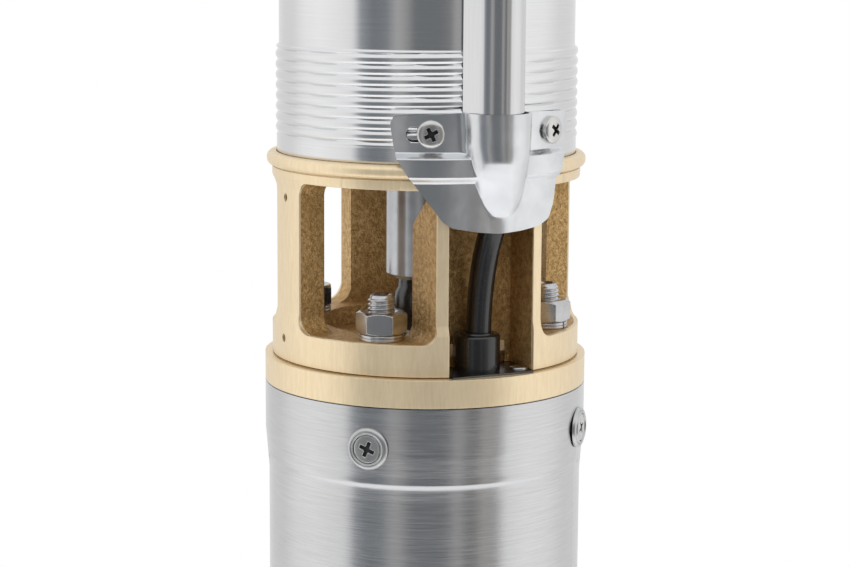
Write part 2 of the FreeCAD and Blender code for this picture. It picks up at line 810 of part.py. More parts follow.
def shaft_seal():
    """Rubber lip seal in the pilot, and the sand slinger that turns above it."""
    body = new_body("shaft_seal")
    bore = "spline_radius + bearing_clearance"
    top = "groove + seal_height"
    revolve(body, [(bore, "seal_foot"), ("seal_radius", "seal_foot"),
                   ("seal_radius", top + " - seal_bevel"), ("seal_radius - seal_bevel", top),
                   (bore, top)])
    slinger = new_body("sand_slinger")
    foot = "groove + slinger_height"
    revolve(slinger, [("spline_radius", foot), ("slinger_radius - slinger_lip", foot),
                      ("slinger_radius", foot + " + slinger_edge"),
                      ("slinger_radius - slinger_lip", foot + " + slinger_thickness"),
                      ("spline_radius", foot + " + slinger_thickness")])


def studs():
    """Studs in the flange, with split washers and hexagon nuts on the casing's foot."""
    body = new_body("studs", STUD_TURN)
    foot = "groove - stud_depth + fit_clearance"
    shank = revolve(body, [("0", foot), ("stud_radius", foot),
                           ("stud_radius", "groove + stud_height - stud_chamfer"),
                           ("stud_radius - stud_chamfer", "groove + stud_height"),
                           ("0", "groove + stud_height")],
                    shift=("bolt_circle_radius", "0", "0"))
    repeat(body, [shank], STUDS)

    nuts = new_body("stud_nuts", STUD_TURN)
    sketch = new_sketch(nuts, "XY_Plane", ("bolt_circle_radius", "0", "washer_top"))
    draw(sketch, hexagon("nut_flats"))
    draw_circle(sketch, ("0", "0"), "stud_radius + fit_clearance")
    prism = extrude(nuts, sketch, "nut_height")
    repeat(nuts, [prism], STUDS)

    washers = new_body("spring_washers", STUD_TURN)
    sketch = new_sketch(washers, "XY_Plane", ("bolt_circle_radius", "0", "foot_top"))
    draw_circle(sketch, ("0", "0"), "washer_radius")
    draw_circle(sketch, ("0", "0"), "stud_radius + fit_clearance")
    disc = extrude(washers, sketch, "washer_thickness")
    split = draw(new_sketch(washers, "XY_Plane", ("bolt_circle_radius", "0", "foot_top")),
                 box_corners("0", "-(washer_split / 2)", "2 * washer_radius",
                             "washer_split / 2"))
    gap = extrude(washers, split, "washer_thickness", "Pocket", reverse=True)
    repeat(washers, [disc, gap], STUDS)


def lead_gland():
    """Rubber plug round the lead, its retaining plate and the plate's screw."""
    plug = new_body("lead_gland", GUARD_TURN)
    axis = ("gland_offset", "0", "0")
    top = "groove + gland_height"
    neck = "(gland_radius + lead_radius) / 2"
    revolve(plug, [("0", "groove - gland_depth"), ("gland_radius", "groove - gland_depth"),
                   ("gland_radius", top, "gland_corner"), (neck, top),
                   (neck, "gland_top"), ("0", "gland_top")], shift=axis)

    plate = new_body("gland_plate", GUARD_TURN)
    sketch = new_sketch(plate, "XY_Plane", ("0", "0", "groove"))
    near = "pilot_radius + gland_plate_play"
    draw(sketch, [(near, "-gland_plate_half_width"),
                  (near + " + gland_plate_depth", "-gland_plate_half_width"),
                  (near + " + gland_plate_depth", "gland_plate_half_width"),
                  (near, "gland_plate_half_width")])
    extrude(plate, sketch, "gland_plate_thickness")
    centre = ("gland_offset", "0")
    round_hole(plate, centre, "gland_radius + fit_clearance", "groove",
               "gland_plate_thickness")
    screw_centre = ("gland_screw_place", "gland_screw_offset")
    round_hole(plate, screw_centre, "gland_screw_radius + fit_clearance", "groove",
               "gland_plate_thickness")

    screw = new_body("gland_plate_screw", GUARD_TURN)
    seat = "groove + gland_plate_thickness"
    revolve(screw, [("0", seat), ("gland_screw_head", seat),
                    ("gland_screw_head", seat + " + gland_screw_radius / 2"),
                    ("gland_screw_radius", seat + " + gland_screw_radius"),
                    ("0", seat + " + gland_screw_radius")],
            shift=("gland_screw_place", "0", "-gland_screw_offset"))


# Suction casing

def flared_outline(half_width, foot, foot_fillet):
    """Upright bar between the foot and the ring, whose ends flare into both with fillets."""
    wide = half_width + " + 2 * " + foot_fillet
    ledge = "window_top + ring_taper / 2"
    right = [(wide, foot), (wide, "foot_top"), (half_width, "foot_top", foot_fillet),
             (half_width, "window_top", "window_head_fillet"), (wide, "window_top"),
             (wide, ledge)]
    left = [("-(" + corner[0] + ")",) + corner[1:] for corner in reversed(right)]
    return right + left


def cut_cable_notch(body, radius, foot, height):
    """Flat that lets the lead and the guard pass a ring of the casing or the head."""
    sketch = draw(new_sketch(body, "XY_Plane", ("0", "0", foot)),
                  box_corners(radius, "-cable_notch_half_width",
                              "2 * bead_radius", "cable_notch_half_width"))
    extrude(body, sketch, height, "Pocket", reverse=True)


def suction_casing():
    """Cast brass cage: foot, three posts, cable channel with thin webs, ring and spigot."""
    body = new_body("suction_casing", GUARD_TURN)
    ledge = "band_end_radius + bead_lip_gap"
    bead_z = "groove + bead_foot"
    bead_top = bead_z + " + bead_height"
    revolve(body, [
        ("foot_bore", "groove"), ("foot_radius - foot_chamfer", "groove"),
        ("foot_radius", "groove + foot_chamfer"), ("foot_radius", "foot_top"),
        ("foot_bore", "foot_top")])
    revolve(body, [
        ("post_inner", "window_top"), ("band_radius", "window_top"),
        ("band_radius", bead_z + " - bead_groove"),
        ("band_radius - bead_groove", bead_z + " - bead_groove"),
        ("band_radius - bead_groove", bead_z), ("bead_radius", bead_z, "bead_corner"),
        ("bead_radius", bead_top, "bead_corner"), (ledge, bead_top), (ledge, "barrel_foot"),
        ("spigot_radius", "barrel_foot"), ("spigot_radius", "stack_foot"),
        ("spigot_bore", "stack_foot"), ("spigot_bore", "window_top + ring_taper")])

    near = "post_inner - web_wall"
    reach = "foot_radius + web_wall"
    post = draw(new_sketch(body, "XZ_Plane", ("0", "0", "-(" + near + ")")),
                flared_outline("post_half_width", "groove + web_foot", "post_foot_fillet"))
    repeat(body, [extrude(body, post, "(" + reach + ") - (" + near + ")", reverse=True)], 3,
           180.0)
    revolve(body, box_corners("0", "foot_top", "post_inner", "window_top + ring_taper / 2"),
            "Groove")
    web_outer = "channel_half_width + web_wall"
    web = draw(new_sketch(body, "YZ_Plane", ("0", "0", "web_inner")),
               flared_outline(web_outer, "groove + web_foot", "web_foot_fillet"))
    extrude(body, web, "(" + reach + ") - web_inner")
    revolve(body, [
        ("foot_radius", "groove"), ("foot_radius", "groove + foot_rim_height"),
        ("post_radius", "groove + foot_rim_height + ring_taper"),
        ("post_radius", "groove + recess_top"),
        ("band_radius", "groove + recess_top + ring_taper"),
        ("band_radius", "window_top + ring_taper"),
        ("2 * foot_radius", "window_top + ring_taper"), ("2 * foot_radius", "groove")],
        "Groove")
    slope = draw(new_sketch(body, "XZ_Plane"), [
        ("web_inner - overcut", "groove + web_slope_foot"),
        ("web_inner", "groove + web_slope_foot"),
        ("post_inner - web_wall", "groove + web_slope_head"),
        ("post_inner", "window_top"), ("spigot_bore", "window_top + ring_taper"),
        ("web_inner - overcut", "window_top + ring_taper")])
    extrude(body, slope, "2 * foot_radius", "Pocket", midplane=True)

    back = "web_inner + web_wall"
    channel = draw(new_sketch(body, "XZ_Plane"), [
        (back, "groove - foot_chamfer"), ("2 * foot_radius", "groove - foot_chamfer"),
        ("2 * foot_radius", "groove + recess_top"),
        ("cable_notch_radius", "groove + recess_top"),
        ("post_inner + web_wall / 2", "groove + web_slope_head"),
        (back, "groove + web_slope_foot")])
    extrude(body, channel, "2 * channel_half_width", "Pocket", midplane=True)
    cut_cable_notch(body, "cable_notch_radius", "groove + recess_top",
                    "bead_foot + bead_height - recess_top")

    stud_hole = ("bolt_circle_radius * cos(45 deg)", "bolt_circle_radius * sin(45 deg)")
    round_hole(body, stud_hole, "stud_radius + stud_hole_play", "groove", "foot_thickness",
               STUDS)
    strainer_holes = []
    for height in ("strainer_hole_low", "strainer_hole_high"):
        strainer_holes.append(radial_hole(body, "strainer_hole_radius", "groove + " + height,
                                          "post_radius - strainer_hole_depth",
                                          "foot_radius + overcut", 90.0))
    repeat(body, strainer_holes, 3, 180.0)
    screw_holes(body, "groove + guard_screw_height", "spigot_bore - overcut",
                "spigot_radius + overcut")


def screw_holes(body, height, near, far):
    """Pair of level holes for the screws that hold a guard piece."""
    hole = radial_hole(body, "guard_screw_radius + fit_clearance", height, near, far,
                       -number("guard_screw_angle"))
    repeat(body, [hole], 2, 2 * number("guard_screw_angle"))


# Pump barrel and stages

def pump_barrel():
    """Stainless tube whose ends carry rolled thread ribs."""
    body = new_body("pump_barrel", GUARD_TURN)
    profile = [("barrel_bore", "barrel_foot"), ("band_end_radius", "barrel_foot"),
               ("band_end_radius", "barrel_foot + rib_margin")]
    for rib in range(RIBS):
        profile += [("rib_valley", "barrel_foot + rib_margin + %g * rib_pitch" % (rib + RIB_VALLEY_TURN)),
                    ("rib_crest", "barrel_foot + rib_margin + %g * rib_pitch" % (rib + RIB_CREST_TURN))]
    low_end = "barrel_foot + rib_margin + %g * rib_pitch" % RIBS
    high_end = "barrel_top - rib_margin - %g * rib_pitch" % RIBS
    profile += [("barrel_radius", low_end), ("barrel_radius", high_end)]
    for rib in reversed(range(RIBS)):
        profile += [("rib_crest", "barrel_top - rib_margin - %g * rib_pitch" % (rib + RIB_CREST_TURN)),
                    ("rib_valley", "barrel_top - rib_margin - %g * rib_pitch" % (rib + RIB_VALLEY_TURN))]
    profile += [("band_end_radius", "barrel_top - rib_margin"),
                ("band_end_radius", "barrel_top"), ("barrel_bore", "barrel_top")]
    revolve(body, profile)
    for height in ("groove + guard_screw_height", "(clip_foot_z + clip_top_z) / 2"):
        screw_holes(body, height, "barrel_bore - overcut", "rib_crest + overcut")


def add_vanes(body, foot, height, centre, radius, count):
    """Curved vanes, each half of a thin ring that stands off the pump's axis."""
    sketch = draw_half_ring(new_sketch(body, "XY_Plane", ("0", "0", foot)), centre, radius,
                            "vane_wall")
    repeat(body, [extrude(body, sketch, height)], count)


def hexagon_hole(body, foot, length):
    sketch = draw(new_sketch(body, "XY_Plane", ("0", "0", foot)),
                  hexagon("hexagon_flats + 2 * hexagon_clearance"))
    extrude(body, sketch, length, "Pocket", reverse=True)


def impeller(stage):
    """Closed impeller: hub, eye ring, two shrouds and six swept vanes."""
    body = new_body("impeller_%d" % (stage + 1))
    base = "stack_foot + %d * stage_pitch" % stage
    foot = base + " + impeller_foot"
    vanes = foot + " + shroud_wall"
    crown = vanes + " + vane_height"
    hub_top_z = base + " + hub_top"
    add_vanes(body, vanes, "vane_height", "vane_centre", "vane_radius", IMPELLER_VANES)
    revolve(body, box_corners("impeller_radius", vanes, "3 * impeller_radius", crown),
            "Groove")
    revolve(body, box_corners("0", vanes, "eye_radius - eye_wall", crown), "Groove")
    revolve(body, box_corners("0", crown, "impeller_radius", crown + " + shroud_wall"))
    revolve(body, [("0", foot), ("hub_radius", foot), ("hub_radius", hub_top_z),
                   ("0", hub_top_z)])
    revolve(body, [("eye_radius - eye_wall", base + " + running_gap"),
                   ("eye_radius", base + " + running_gap"), ("eye_radius", foot),
                   ("impeller_radius", foot), ("impeller_radius", vanes),
                   ("eye_radius - eye_wall", vanes)])
    hexagon_hole(body, foot, "hub_top - impeller_foot")


def stage_bowl(stage):
    """Bowl of one stage: wall, intake plate, diffuser plate and return vanes."""
    body = new_body("stage_bowl_%d" % (stage + 1), stage * BOWL_TURN)
    base = "stack_foot + %d * stage_pitch" % stage
    top = base + " + stage_pitch"
    plate = base + " + diffuser_height"
    guides = plate + " + plate_wall"
    eye = "eye_radius + running_gap"
    inner = "spigot_radius - bowl_wall"
    add_vanes(body, guides, "stage_pitch - diffuser_height - plate_wall", "guide_centre",
              "guide_radius", GUIDE_VANES)
    revolve(body, box_corners("spigot_radius", guides, "3 * spigot_radius", top), "Groove")
    revolve(body, box_corners("0", guides, "guide_inner", top), "Groove")
    revolve(body, box_corners("sleeve_radius + running_gap", plate, "diffuser_radius", guides))
    revolve(body, [(eye, base), ("spigot_radius", base), ("spigot_radius", top), (inner, top),
                   (inner, base + " + plate_wall"), (eye, base + " + plate_wall")])


def shaft_line():
    """Coupling, hexagonal pump shaft, spacer sleeves, bearing sleeve and top nut."""
    bore = "spline_radius + fit_clearance"
    body = new_body("coupling")
    chamfer = "coupling_chamfer"
    revolve(body, [
        (bore, "coupling_foot_z"), ("coupling_radius - coupling_chamfer", "coupling_foot_z"),
        ("coupling_radius", "coupling_foot_z + " + chamfer),
        ("coupling_radius", "coupling_top - " + chamfer),
        ("coupling_radius - coupling_chamfer", "coupling_top"), (bore, "coupling_top")])

    shaft = new_body("pump_shaft")
    shoulder = "coupling_top + fit_clearance"
    nut_foot = "spider_top + running_gap"
    shaft_top = nut_foot + " + shaft_nut_height + hub_gap"
    revolve(shaft, box_corners("0", "pump_shaft_foot", "spline_radius", shoulder))
    sketch = draw(new_sketch(shaft, "XY_Plane", ("0", "0", shoulder)),
                  hexagon("hexagon_flats"))
    extrude(shaft, sketch, "(" + shaft_top + ") - (" + shoulder + ")")

    sleeves = new_body("shaft_sleeves")
    spans = [(shoulder, "stack_foot + impeller_foot")]
    for stage in range(STAGES - 1):
        low = "stack_foot + %d * stage_pitch + hub_top" % stage
        spans.append((low, low + " + sleeve_length"))
    for low, high in spans:
        revolve(sleeves, box_corners("0", low, "sleeve_radius", high))
    last_hub = "stack_foot + %d * stage_pitch + hub_top" % (STAGES - 1)
    hexagon_hole(sleeves, shoulder, "(" + last_hub + ") - (" + shoulder + ")")

    bearing_sleeve = ring("bearing_sleeve", "0", "sleeve_radius", last_hub, nut_foot)
    hexagon_hole(bearing_sleeve, last_hub, "(" + nut_foot + ") - (" + last_hub + ")")

    nut = new_body("shaft_nut")
    sketch = new_sketch(nut, "XY_Plane", ("0", "0", nut_foot))
    draw(sketch, hexagon("shaft_nut_flats"))
    draw(sketch, hexagon("hexagon_flats + 2 * hexagon_clearance"))
    extrude(nut, sketch, "shaft_nut_height")


def top_bearing():
    """Spider across the barrel above the last stage, and its rubber bush."""
    body = new_body("top_bearing_spider")
    hole = "top_bush_radius + fit_clearance"
    revolve(body, box_corners("spigot_radius - spider_rim", "stack_top", "spigot_radius",
                              "spider_top"))
    revolve(body, box_corners(hole, "stack_top", "spider_hub", "spider_top"))
    spoke = draw(new_sketch(body, "XY_Plane", ("0", "0", "stack_top")),
                 box_corners("spider_hub - overcut", "-(spoke_width / 2)",
                             "spigot_radius - spider_rim + overcut", "spoke_width / 2"))
    repeat(body, [extrude(body, spoke, "spider_height")], SPIDER_ARMS)
    ring("top_bearing_bush", "sleeve_radius + bearing_clearance", "top_bush_radius",
         "stack_top", "spider_top")


# Discharge head

def discharge_head():
    """Brass head: spigot, beaded ring, valve chamber, threaded outlet and two rope lugs."""
    body = new_body("discharge_head", GUARD_TURN)
    ledge = "band_end_radius + bead_lip_gap"
    lip = "barrel_top - (bead_foot + bead_height - casing_height)"
    revolve(body, [
        ("spigot_bore", "head_spigot_foot"), ("spigot_radius", "head_spigot_foot"),
        ("spigot_radius", "barrel_top"), (ledge, "barrel_top"), (ledge, lip),
        ("bead_radius", lip, "bead_corner"),
        ("bead_radius", lip + " + bead_height", "bead_corner"),
        ("band_radius", lip + " + bead_height"), ("band_radius", "guard_top_z"),
        ("neck_radius", "barrel_top + neck_foot"), ("neck_radius", "head_top - edge_bevel"),
        ("neck_radius - edge_bevel", "head_top"), ("outlet_radius", "head_top"),
        ("outlet_radius", "head_top - outlet_depth"),
        ("throat_radius", "head_top - outlet_depth"), ("throat_radius", "chamber_top_z"),
        ("chamber_radius", "chamber_top_z"), ("chamber_radius", "seat_top"),
        ("spigot_bore", "seat_top")])
    lug_foot_z = "barrel_top + lug_foot"
    lug = draw(new_sketch(body, "YZ_Plane"), [
        ("neck_radius - lug_root", lug_foot_z), ("lug_reach - lug_slope", lug_foot_z),
        ("lug_reach", lug_foot_z + " + lug_slope", "lug_toe_corner"),
        ("lug_reach", lug_foot_z + " + lug_height", "lug_head_corner"),
        ("neck_radius - lug_root", lug_foot_z + " + lug_height")])
    draw_circle(lug, ("lug_eye_offset", lug_foot_z + " + lug_eye_height"), "lug_eye_radius")
    repeat(body, [extrude(body, lug, "lug_width", midplane=True)], 2)
    cut_cable_notch(body, "head_notch_radius", lip,
                    "guard_top_z + bead_height - (" + lip + ")")
    screw_holes(body, "(clip_foot_z + clip_top_z) / 2", "spigot_bore - overcut",
                "spigot_radius + overcut")


def check_valve():
    """Seat, rubber ring, poppet on its stem, guide cage and closing spring."""
    seat = new_body("valve_seat")
    seat_foot = "seat_top - seat_thickness"
    revolve(seat, [("seat_bore + seat_bevel", seat_foot),
                   ("spigot_bore - fit_clearance", seat_foot),
                   ("spigot_bore - fit_clearance", "seat_top"), ("seat_bore", "seat_top"),
                   ("seat_bore", seat_foot + " + seat_bevel")])

    seal_inner = "poppet_radius - valve_seal_width"
    ring("valve_seal", seal_inner, "poppet_radius", "seat_top", "seal_top")

    poppet = new_body("valve_poppet")
    revolve(poppet, [
        ("0", "seal_top - poppet_boss"), (seal_inner + " - poppet_boss",
                                          "seal_top - poppet_boss"),
        (seal_inner, "seal_top"), ("poppet_radius", "seal_top"),
        ("poppet_radius", "seal_top + poppet_thickness / 2"),
        ("poppet_radius - poppet_bevel", "poppet_top"), ("stem_radius", "poppet_top"),
        ("stem_radius", "chamber_top_z + stem_end"), ("0", "chamber_top_z + stem_end")])

    cage = new_body("valve_cage")
    rim = "chamber_radius - fit_clearance"
    revolve(cage, box_corners(rim + " - cage_rim", "cage_foot", rim, "chamber_top_z"))
    revolve(cage, box_corners("stem_radius + bearing_clearance", "cage_foot", "cage_boss",
                              "chamber_top_z"))
    arm = draw(new_sketch(cage, "XY_Plane", ("0", "0", "cage_foot")),
               box_corners("cage_boss - overcut", "-(cage_rim / 2)", rim + " - cage_rim / 2",
                           "cage_rim / 2"))
    repeat(cage, [extrude(cage, arm, "cage_height")], CAGE_ARMS)

    spring = new_body("valve_spring")
    sketch = draw_circle(new_sketch(spring, "XZ_Plane"),
                         ("spring_radius", "poppet_top + spring_wire + fit_clearance"),
                         "spring_wire")
    coil = spring.newObject("PartDesign::AdditiveHelix", "valve_spring_coil")
    coil.Profile = sketch
    coil.ReferenceAxis = (sketch, ["V_Axis"])
    coil.Mode = "height-turns-angle"
    coil.setExpression("Height", cells("cage_foot - poppet_top - 2 * spring_wire"
                                       " - 2 * fit_clearance"))
    coil.setExpression("Turns", cells("spring_turns"))


# Cable guard

def cable_guard():
    """Pressed channel over the lead: walls that lean in from the barrel to a round crown."""
    body = new_body("cable_guard", GUARD_TURN)
    outside, inside = [], []
    for side, inset in ((outside, "0"), (inside, "guard_wall")):
        foot = "guard_half_width - " + inset
        side += [("sqrt(guard_seat ^ 2 - (" + foot + ") ^ 2)", foot),
                 ("guard_crown - " + inset, "guard_crown_half_width - " + inset,
                  "guard_corner - 2 * " + inset)]
        side += [(corner[0], "-(" + corner[1] + ")") + corner[2:] for corner in reversed(side)]
    sketch = draw(new_sketch(body, "XY_Plane", ("0", "0", "groove + guard_foot")),
                  outside + inside[::-1])
    extrude(body, sketch, "guard_top_z - groove - guard_foot")


def sheet_band(body, profile):
    """Part of a turned sheet, centred on the guard."""
    band = revolve(body, profile, angle=2 * number("shoe_half_angle"))
    band.Midplane = True
    return band


def add_slots(body, height):
    """Level slots for the two guard screws."""
    angle = number("guard_screw_angle")
    slot = draw(new_sketch(body, "YZ_Plane", ("0", height, "0"), -angle), [
        corner + ("slot_corner",) for corner in
        box_corners("-slot_half_length", "-slot_half_height", "slot_half_length",
                    "slot_half_height")])
    cut = extrude(body, slot, "2 * bead_radius", "Pocket", reverse=True)
    repeat(body, [cut], 2, 2 * angle)


def guard_shoe():
    """Polished foot of the guard: flaps on the barrel, a step over the bead, a tongue over
    the channel and a hump that closes the lead's way."""
    body = new_body("guard_shoe", GUARD_TURN)
    top = "groove + shoe_top"
    step_top = "groove + shoe_step_top"
    step_foot = "groove + shoe_step_foot"
    toe = "groove + shoe_toe"
    wall = " + guard_wall"
    inside = [("shoe_seat", top), ("shoe_seat", step_top),
              ("shoe_step_radius", step_top + " - shoe_rise"),
              ("shoe_step_radius", step_foot), ("shoe_tongue_radius",
                                                step_foot + " - shoe_rise"),
              ("shoe_tongue_radius", toe)]
    outside = [("shoe_tongue_radius" + wall, toe),
               ("shoe_tongue_radius" + wall, step_foot + " - shoe_rise - guard_wall / 2"),
               ("shoe_step_radius" + wall, step_foot + " - guard_wall / 2"),
               ("shoe_step_radius" + wall, step_top + " - shoe_rise + guard_wall / 2"),
               ("shoe_seat" + wall, step_top + " + guard_wall / 2"),
               ("shoe_seat" + wall, top)]
    sheet_band(body, inside + outside)
    axis = ("hump_centre", "0", "0")
    nose_foot = "groove + hump_foot - hump_nose"
    revolve(body, [("0", nose_foot), ("hump_radius", nose_foot, "hump_radius - guard_wall / 2"),
                   ("hump_radius", top), ("0", top)], shift=axis)
    below = toe + " - overcut"
    above = top + " + overcut"
    cavity = [("0", below), ("shoe_tongue_radius", below)]
    cavity += list(reversed(inside[1:5])) + [("shoe_seat", above), ("0", above)]
    revolve(body, cavity, "Groove")
    revolve(body, [("0", nose_foot + wall),
                   ("hump_radius - guard_wall", nose_foot + wall,
                    "hump_radius - guard_wall - guard_wall / 2"),
                   ("hump_radius - guard_wall", above), ("0", above)],
            "Groove", shift=axis)
    outline = new_sketch(body, "YZ_Plane")
    margin = "2 * shoe_top_half_width"
    draw(outline, box_corners("-(" + margin + ")", below, margin, above))
    draw(outline, [("-shoe_toe_half_width", toe, "shoe_toe_corner"),
                   ("shoe_toe_half_width", toe, "shoe_toe_corner"),
                   ("shoe_waist_half_width", "groove + shoe_waist"),
                   ("shoe_top_half_width", top, "shoe_top_corner"),
                   ("-shoe_top_half_width", top, "shoe_top_corner"),
                   ("-shoe_waist_half_width", "groove + shoe_waist")])
    extrude(body, outline, "2 * bead_radius", "Pocket", reverse=True)
    add_slots(body, "groove + guard_screw_height")


def guard_clip():
    """Strap that holds the guard's top end on the barrel."""
    body = new_body("guard_top_clip", GUARD_TURN)
    sheet_band(body, box_corners("shoe_seat", "clip_foot_z", "shoe_seat + guard_wall",
                                 "clip_top_z"))
    axis = ("hump_centre", "0", "0")
    revolve(body, box_corners("0", "clip_foot_z", "hump_radius", "clip_top_z"), shift=axis)
    below = "clip_foot_z - overcut"
    above = "clip_top_z + overcut"
    revolve(body, box_corners("0", below, "shoe_seat", above), "Groove")
    revolve(body, box_corners("0", below, "hump_radius - guard_wall", above), "Groove",
            shift=axis)
    add_slots(body, "(clip_foot_z + clip_top_z) / 2")


def guard_screws():
    """Pan-head screws of the shoe and of the strap."""
    seat = "shoe_seat + guard_wall + fit_clearance"
    for label, height in (("shoe_screws", "groove + guard_screw_height"),
                          ("clip_screws", "(clip_foot_z + clip_top_z) / 2")):
        body = new_body(label, GUARD_TURN)
        tip = seat + " - guard_screw_length"
        crown = seat + " + guard_screw_head_height"
        screw = turn_radially(body, [
            (tip, "0"), (tip, "guard_screw_radius"), (seat, "guard_screw_radius"),
            (seat, "guard_screw_head"),
            (crown, "guard_screw_head", "guard_screw_crown"), (crown, "0")],
            height, turn=-number("guard_screw_angle"))
        repeat(body, [screw], 2, 2 * number("guard_screw_angle"))


# Motor lead

# Route of the lead's middle line: out of the gland, up the guard, over the rope lug, down
# behind the pump and along the floor to the coil.
LEAD_ROUTE = [
    (0, -35.8, 311), (0, -36.4, 327), (0, -41.5, 346), (0, -50, 360.7), (0.3, -49.1, 388),
    (-0.3, -49.2, 436), (0.4, -49.3, 498), (-0.2, -49.2, 552), (0.2, -49.2, 596),
    (4.5, -50.5, 623), (20.5, -45.5, 645.5), (38.5, -27.5, 656), (48, -1.5, 653.5),
    (47, 24.5, 641), (40.5, 43, 616.5), (33, 53, 583), (27.5, 54.5, 538), (25, 52.5, 484),
    (24, 51, 428), (25.5, 52.5, 368), (23.8, 51, 304), (26, 52.3, 238), (30, 49.3, 172),
    (36.5, 44.5, 118), (40.5, 38.5, 76), (41.5, 43, 44.5), (42, 58, 18.5), (41.6, 82, 4.5),
    (41, 106, 3.75)]
COIL_START = -50.0
TOP_TURN = 300.0
END_LEAN = 24.0
ARC_SHARE = 0.45


def lead_path():
    """Straight runs joined by tangent arcs, each as large as its two runs allow."""
    points = [vector(*point) for point in LEAD_ROUTE]
    edges = []
    start = points[0]
    for before, here, after in zip(points, points[1:], points[2:]):
        back = (before - here).normalize()
        ahead = (after - here).normalize()
        reach = ARC_SHARE * min((before - here).Length, (after - here).Length)
        half_turn = (math.pi - back.getAngle(ahead)) / 2
        radius = reach / math.tan(half_turn)
        print("lead bend at %s: radius %.1f mm" % (tuple(here), radius))
        first = here + back * reach
        last = here + ahead * reach
        middle = here + (back + ahead).normalize() * radius * (1 / math.cos(half_turn) - 1)
        edges.append(Part.LineSegment(start, first).toShape())
        edges.append(Part.Arc(first, middle, last).toShape())
        start = last
    edges.append(Part.LineSegment(start, points[-1]).toShape())
    return Part.Wire(edges)


def plain_feature(label, shape):
    made = doc.addObject("Part::Feature", label)
    made.Label = label
    made.Shape = shape
    made.Placement = FreeCAD.Placement()
    parts.append(made)
    return made


def lead_cable():
    """The lead from the gland to the coil, as one round tube."""
    radius = number("lead_radius")
    path = lead_path()
    section = Part.Wire(Part.makeCircle(radius, vector(*LEAD_ROUTE[0]), vector(0, 0, 1)))
    tube = path.makePipeShell([section], True, False)
    expected = math.pi * radius ** 2 * path.Length
    print("lead length %.1f mm, volume %.0f of %.0f mm3" % (path.Length, tube.Volume,
                                                           expected))
    plain_feature("lead_cable", tube)


def place_on_coil(body, turn, out):
    """Put a body at a distance from the coil's middle, in the direction of its own X turned
    by degrees, where the coil's outer turn starts at the route's end."""
    radius = "(lead_coil_radius + lead_radius)"
    share = (math.cos(math.radians(turn)), math.sin(math.radians(turn)))
    body.setExpression(".Placement.Base.x", cells("%g - %s + %g * (%s)" % (
        LEAD_ROUTE[-1][0], radius, share[0], out)))
    body.setExpression(".Placement.Base.y", cells("%g + %g * (%s)" % (
        LEAD_ROUTE[-1][1], share[1], out)))


def lead_coil():
    """Outer shape of the lead's neat coil: two turns on the floor and most of one on top."""
    body = new_body("lead_coil", COIL_START)
    place_on_coil(body, 0.0, "0")
    inner = "lead_coil_radius - 2 * lead_radius"
    outer = "lead_coil_radius + 2 * lead_radius"
    top = "(2 + sqrt(3)) * lead_radius"
    revolve(body, box_corners(inner, "0", outer, "2 * lead_radius"))
    revolve(body, [(inner, "2 * lead_radius"), (outer, "2 * lead_radius"),
                   ("lead_coil_radius + lead_radius", top),
                   ("lead_coil_radius - lead_radius", top)], angle=TOP_TURN)


def lead_end():
    """Sleeve on the sheath's end, bare cores and their ferrules, lying on the coil."""
    turn = COIL_START + TOP_TURN
    body = new_body("lead_end", turn + 90.0 + END_LEAN)
    place_on_coil(body, turn, "lead_coil_radius")
    height = "(1 + sqrt(3)) * lead_radius"
    turn_radially(body, box_corners("fit_clearance", "0", "sheath_end_length",
                                    "sheath_end_radius"), height)
    for core in range(LEAD_CORES):
        offset = "%g * core_pitch" % (core - (LEAD_CORES - 1) / 2)
        reach = "sheath_end_length + core_length"
        turn_radially(body, [("sheath_end_length - overcut", "0"),
                             ("sheath_end_length - overcut", "core_radius"),
                             (reach + " - ferrule_length", "core_radius"),
                             (reach + " - ferrule_length", "ferrule_radius"),
                             (reach, "ferrule_radius"), (reach, "0")],
                      height + " - core_drop", offset=offset)


def faults(part):
    """What failed in a piece or in one of its features, in words."""
    found = []
    for member in [part] + list(getattr(part, "Group", [])):
        if "Invalid" in member.State or "Error" in member.State:
            found.append("%s failed" % member.Name)
        elif member.TypeId in ("PartDesign::Pocket", "PartDesign::Groove"):
            base = member.BaseFeature.Shape
            if base.isNull() or base.Volume - member.Shape.Volume < 1e-3:
                found.append("%s cuts nothing" % member.Name)
    if part.Shape.isNull() or not part.Shape.isValid():
        found.append("%s has no valid shape" % part.Label)
    return found


motor_shell()
motor_top_flange()
shell_screws()
cup_washers()
motor_base()
diaphragm()
lower_bracket()
motor_bearings()
stator()
rotor()
shaft_seal()
studs()
lead_gland()
suction_casing()
pump_barrel()
for stage in range(STAGES):
    impeller(stage)
    stage_bowl(stage)
shaft_line()
top_bearing()
discharge_head()
check_valve()
cable_guard()
guard_shoe()
guard_clip()
guard_screws()
lead_cable()
lead_coil()
lead_end()
doc.recompute()

failures = [fault for part in parts for fault in faults(part)]
if failures:
    raise RuntimeError("; ".join(failures))
os.makedirs("parts", exist_ok=True)
for part in parts:
    part.Shape.exportStep("parts/%s.step" % part.Label)
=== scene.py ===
"""Looks of the borehole pump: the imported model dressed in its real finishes.

Camera, lamps, floor and finishes are in metres. Shapes are worked out in millimetres and
scaled by MM. Their angles are from the cable guard, positive to the right of it as seen
from in front, and their heights are above the joint between motor and suction casing. The
lead, the ring's lip, the slinger and the spring have theirs above the floor.
"""
import json
import math

import bmesh
import bpy
import numpy as np
from mathutils import Matrix, Vector


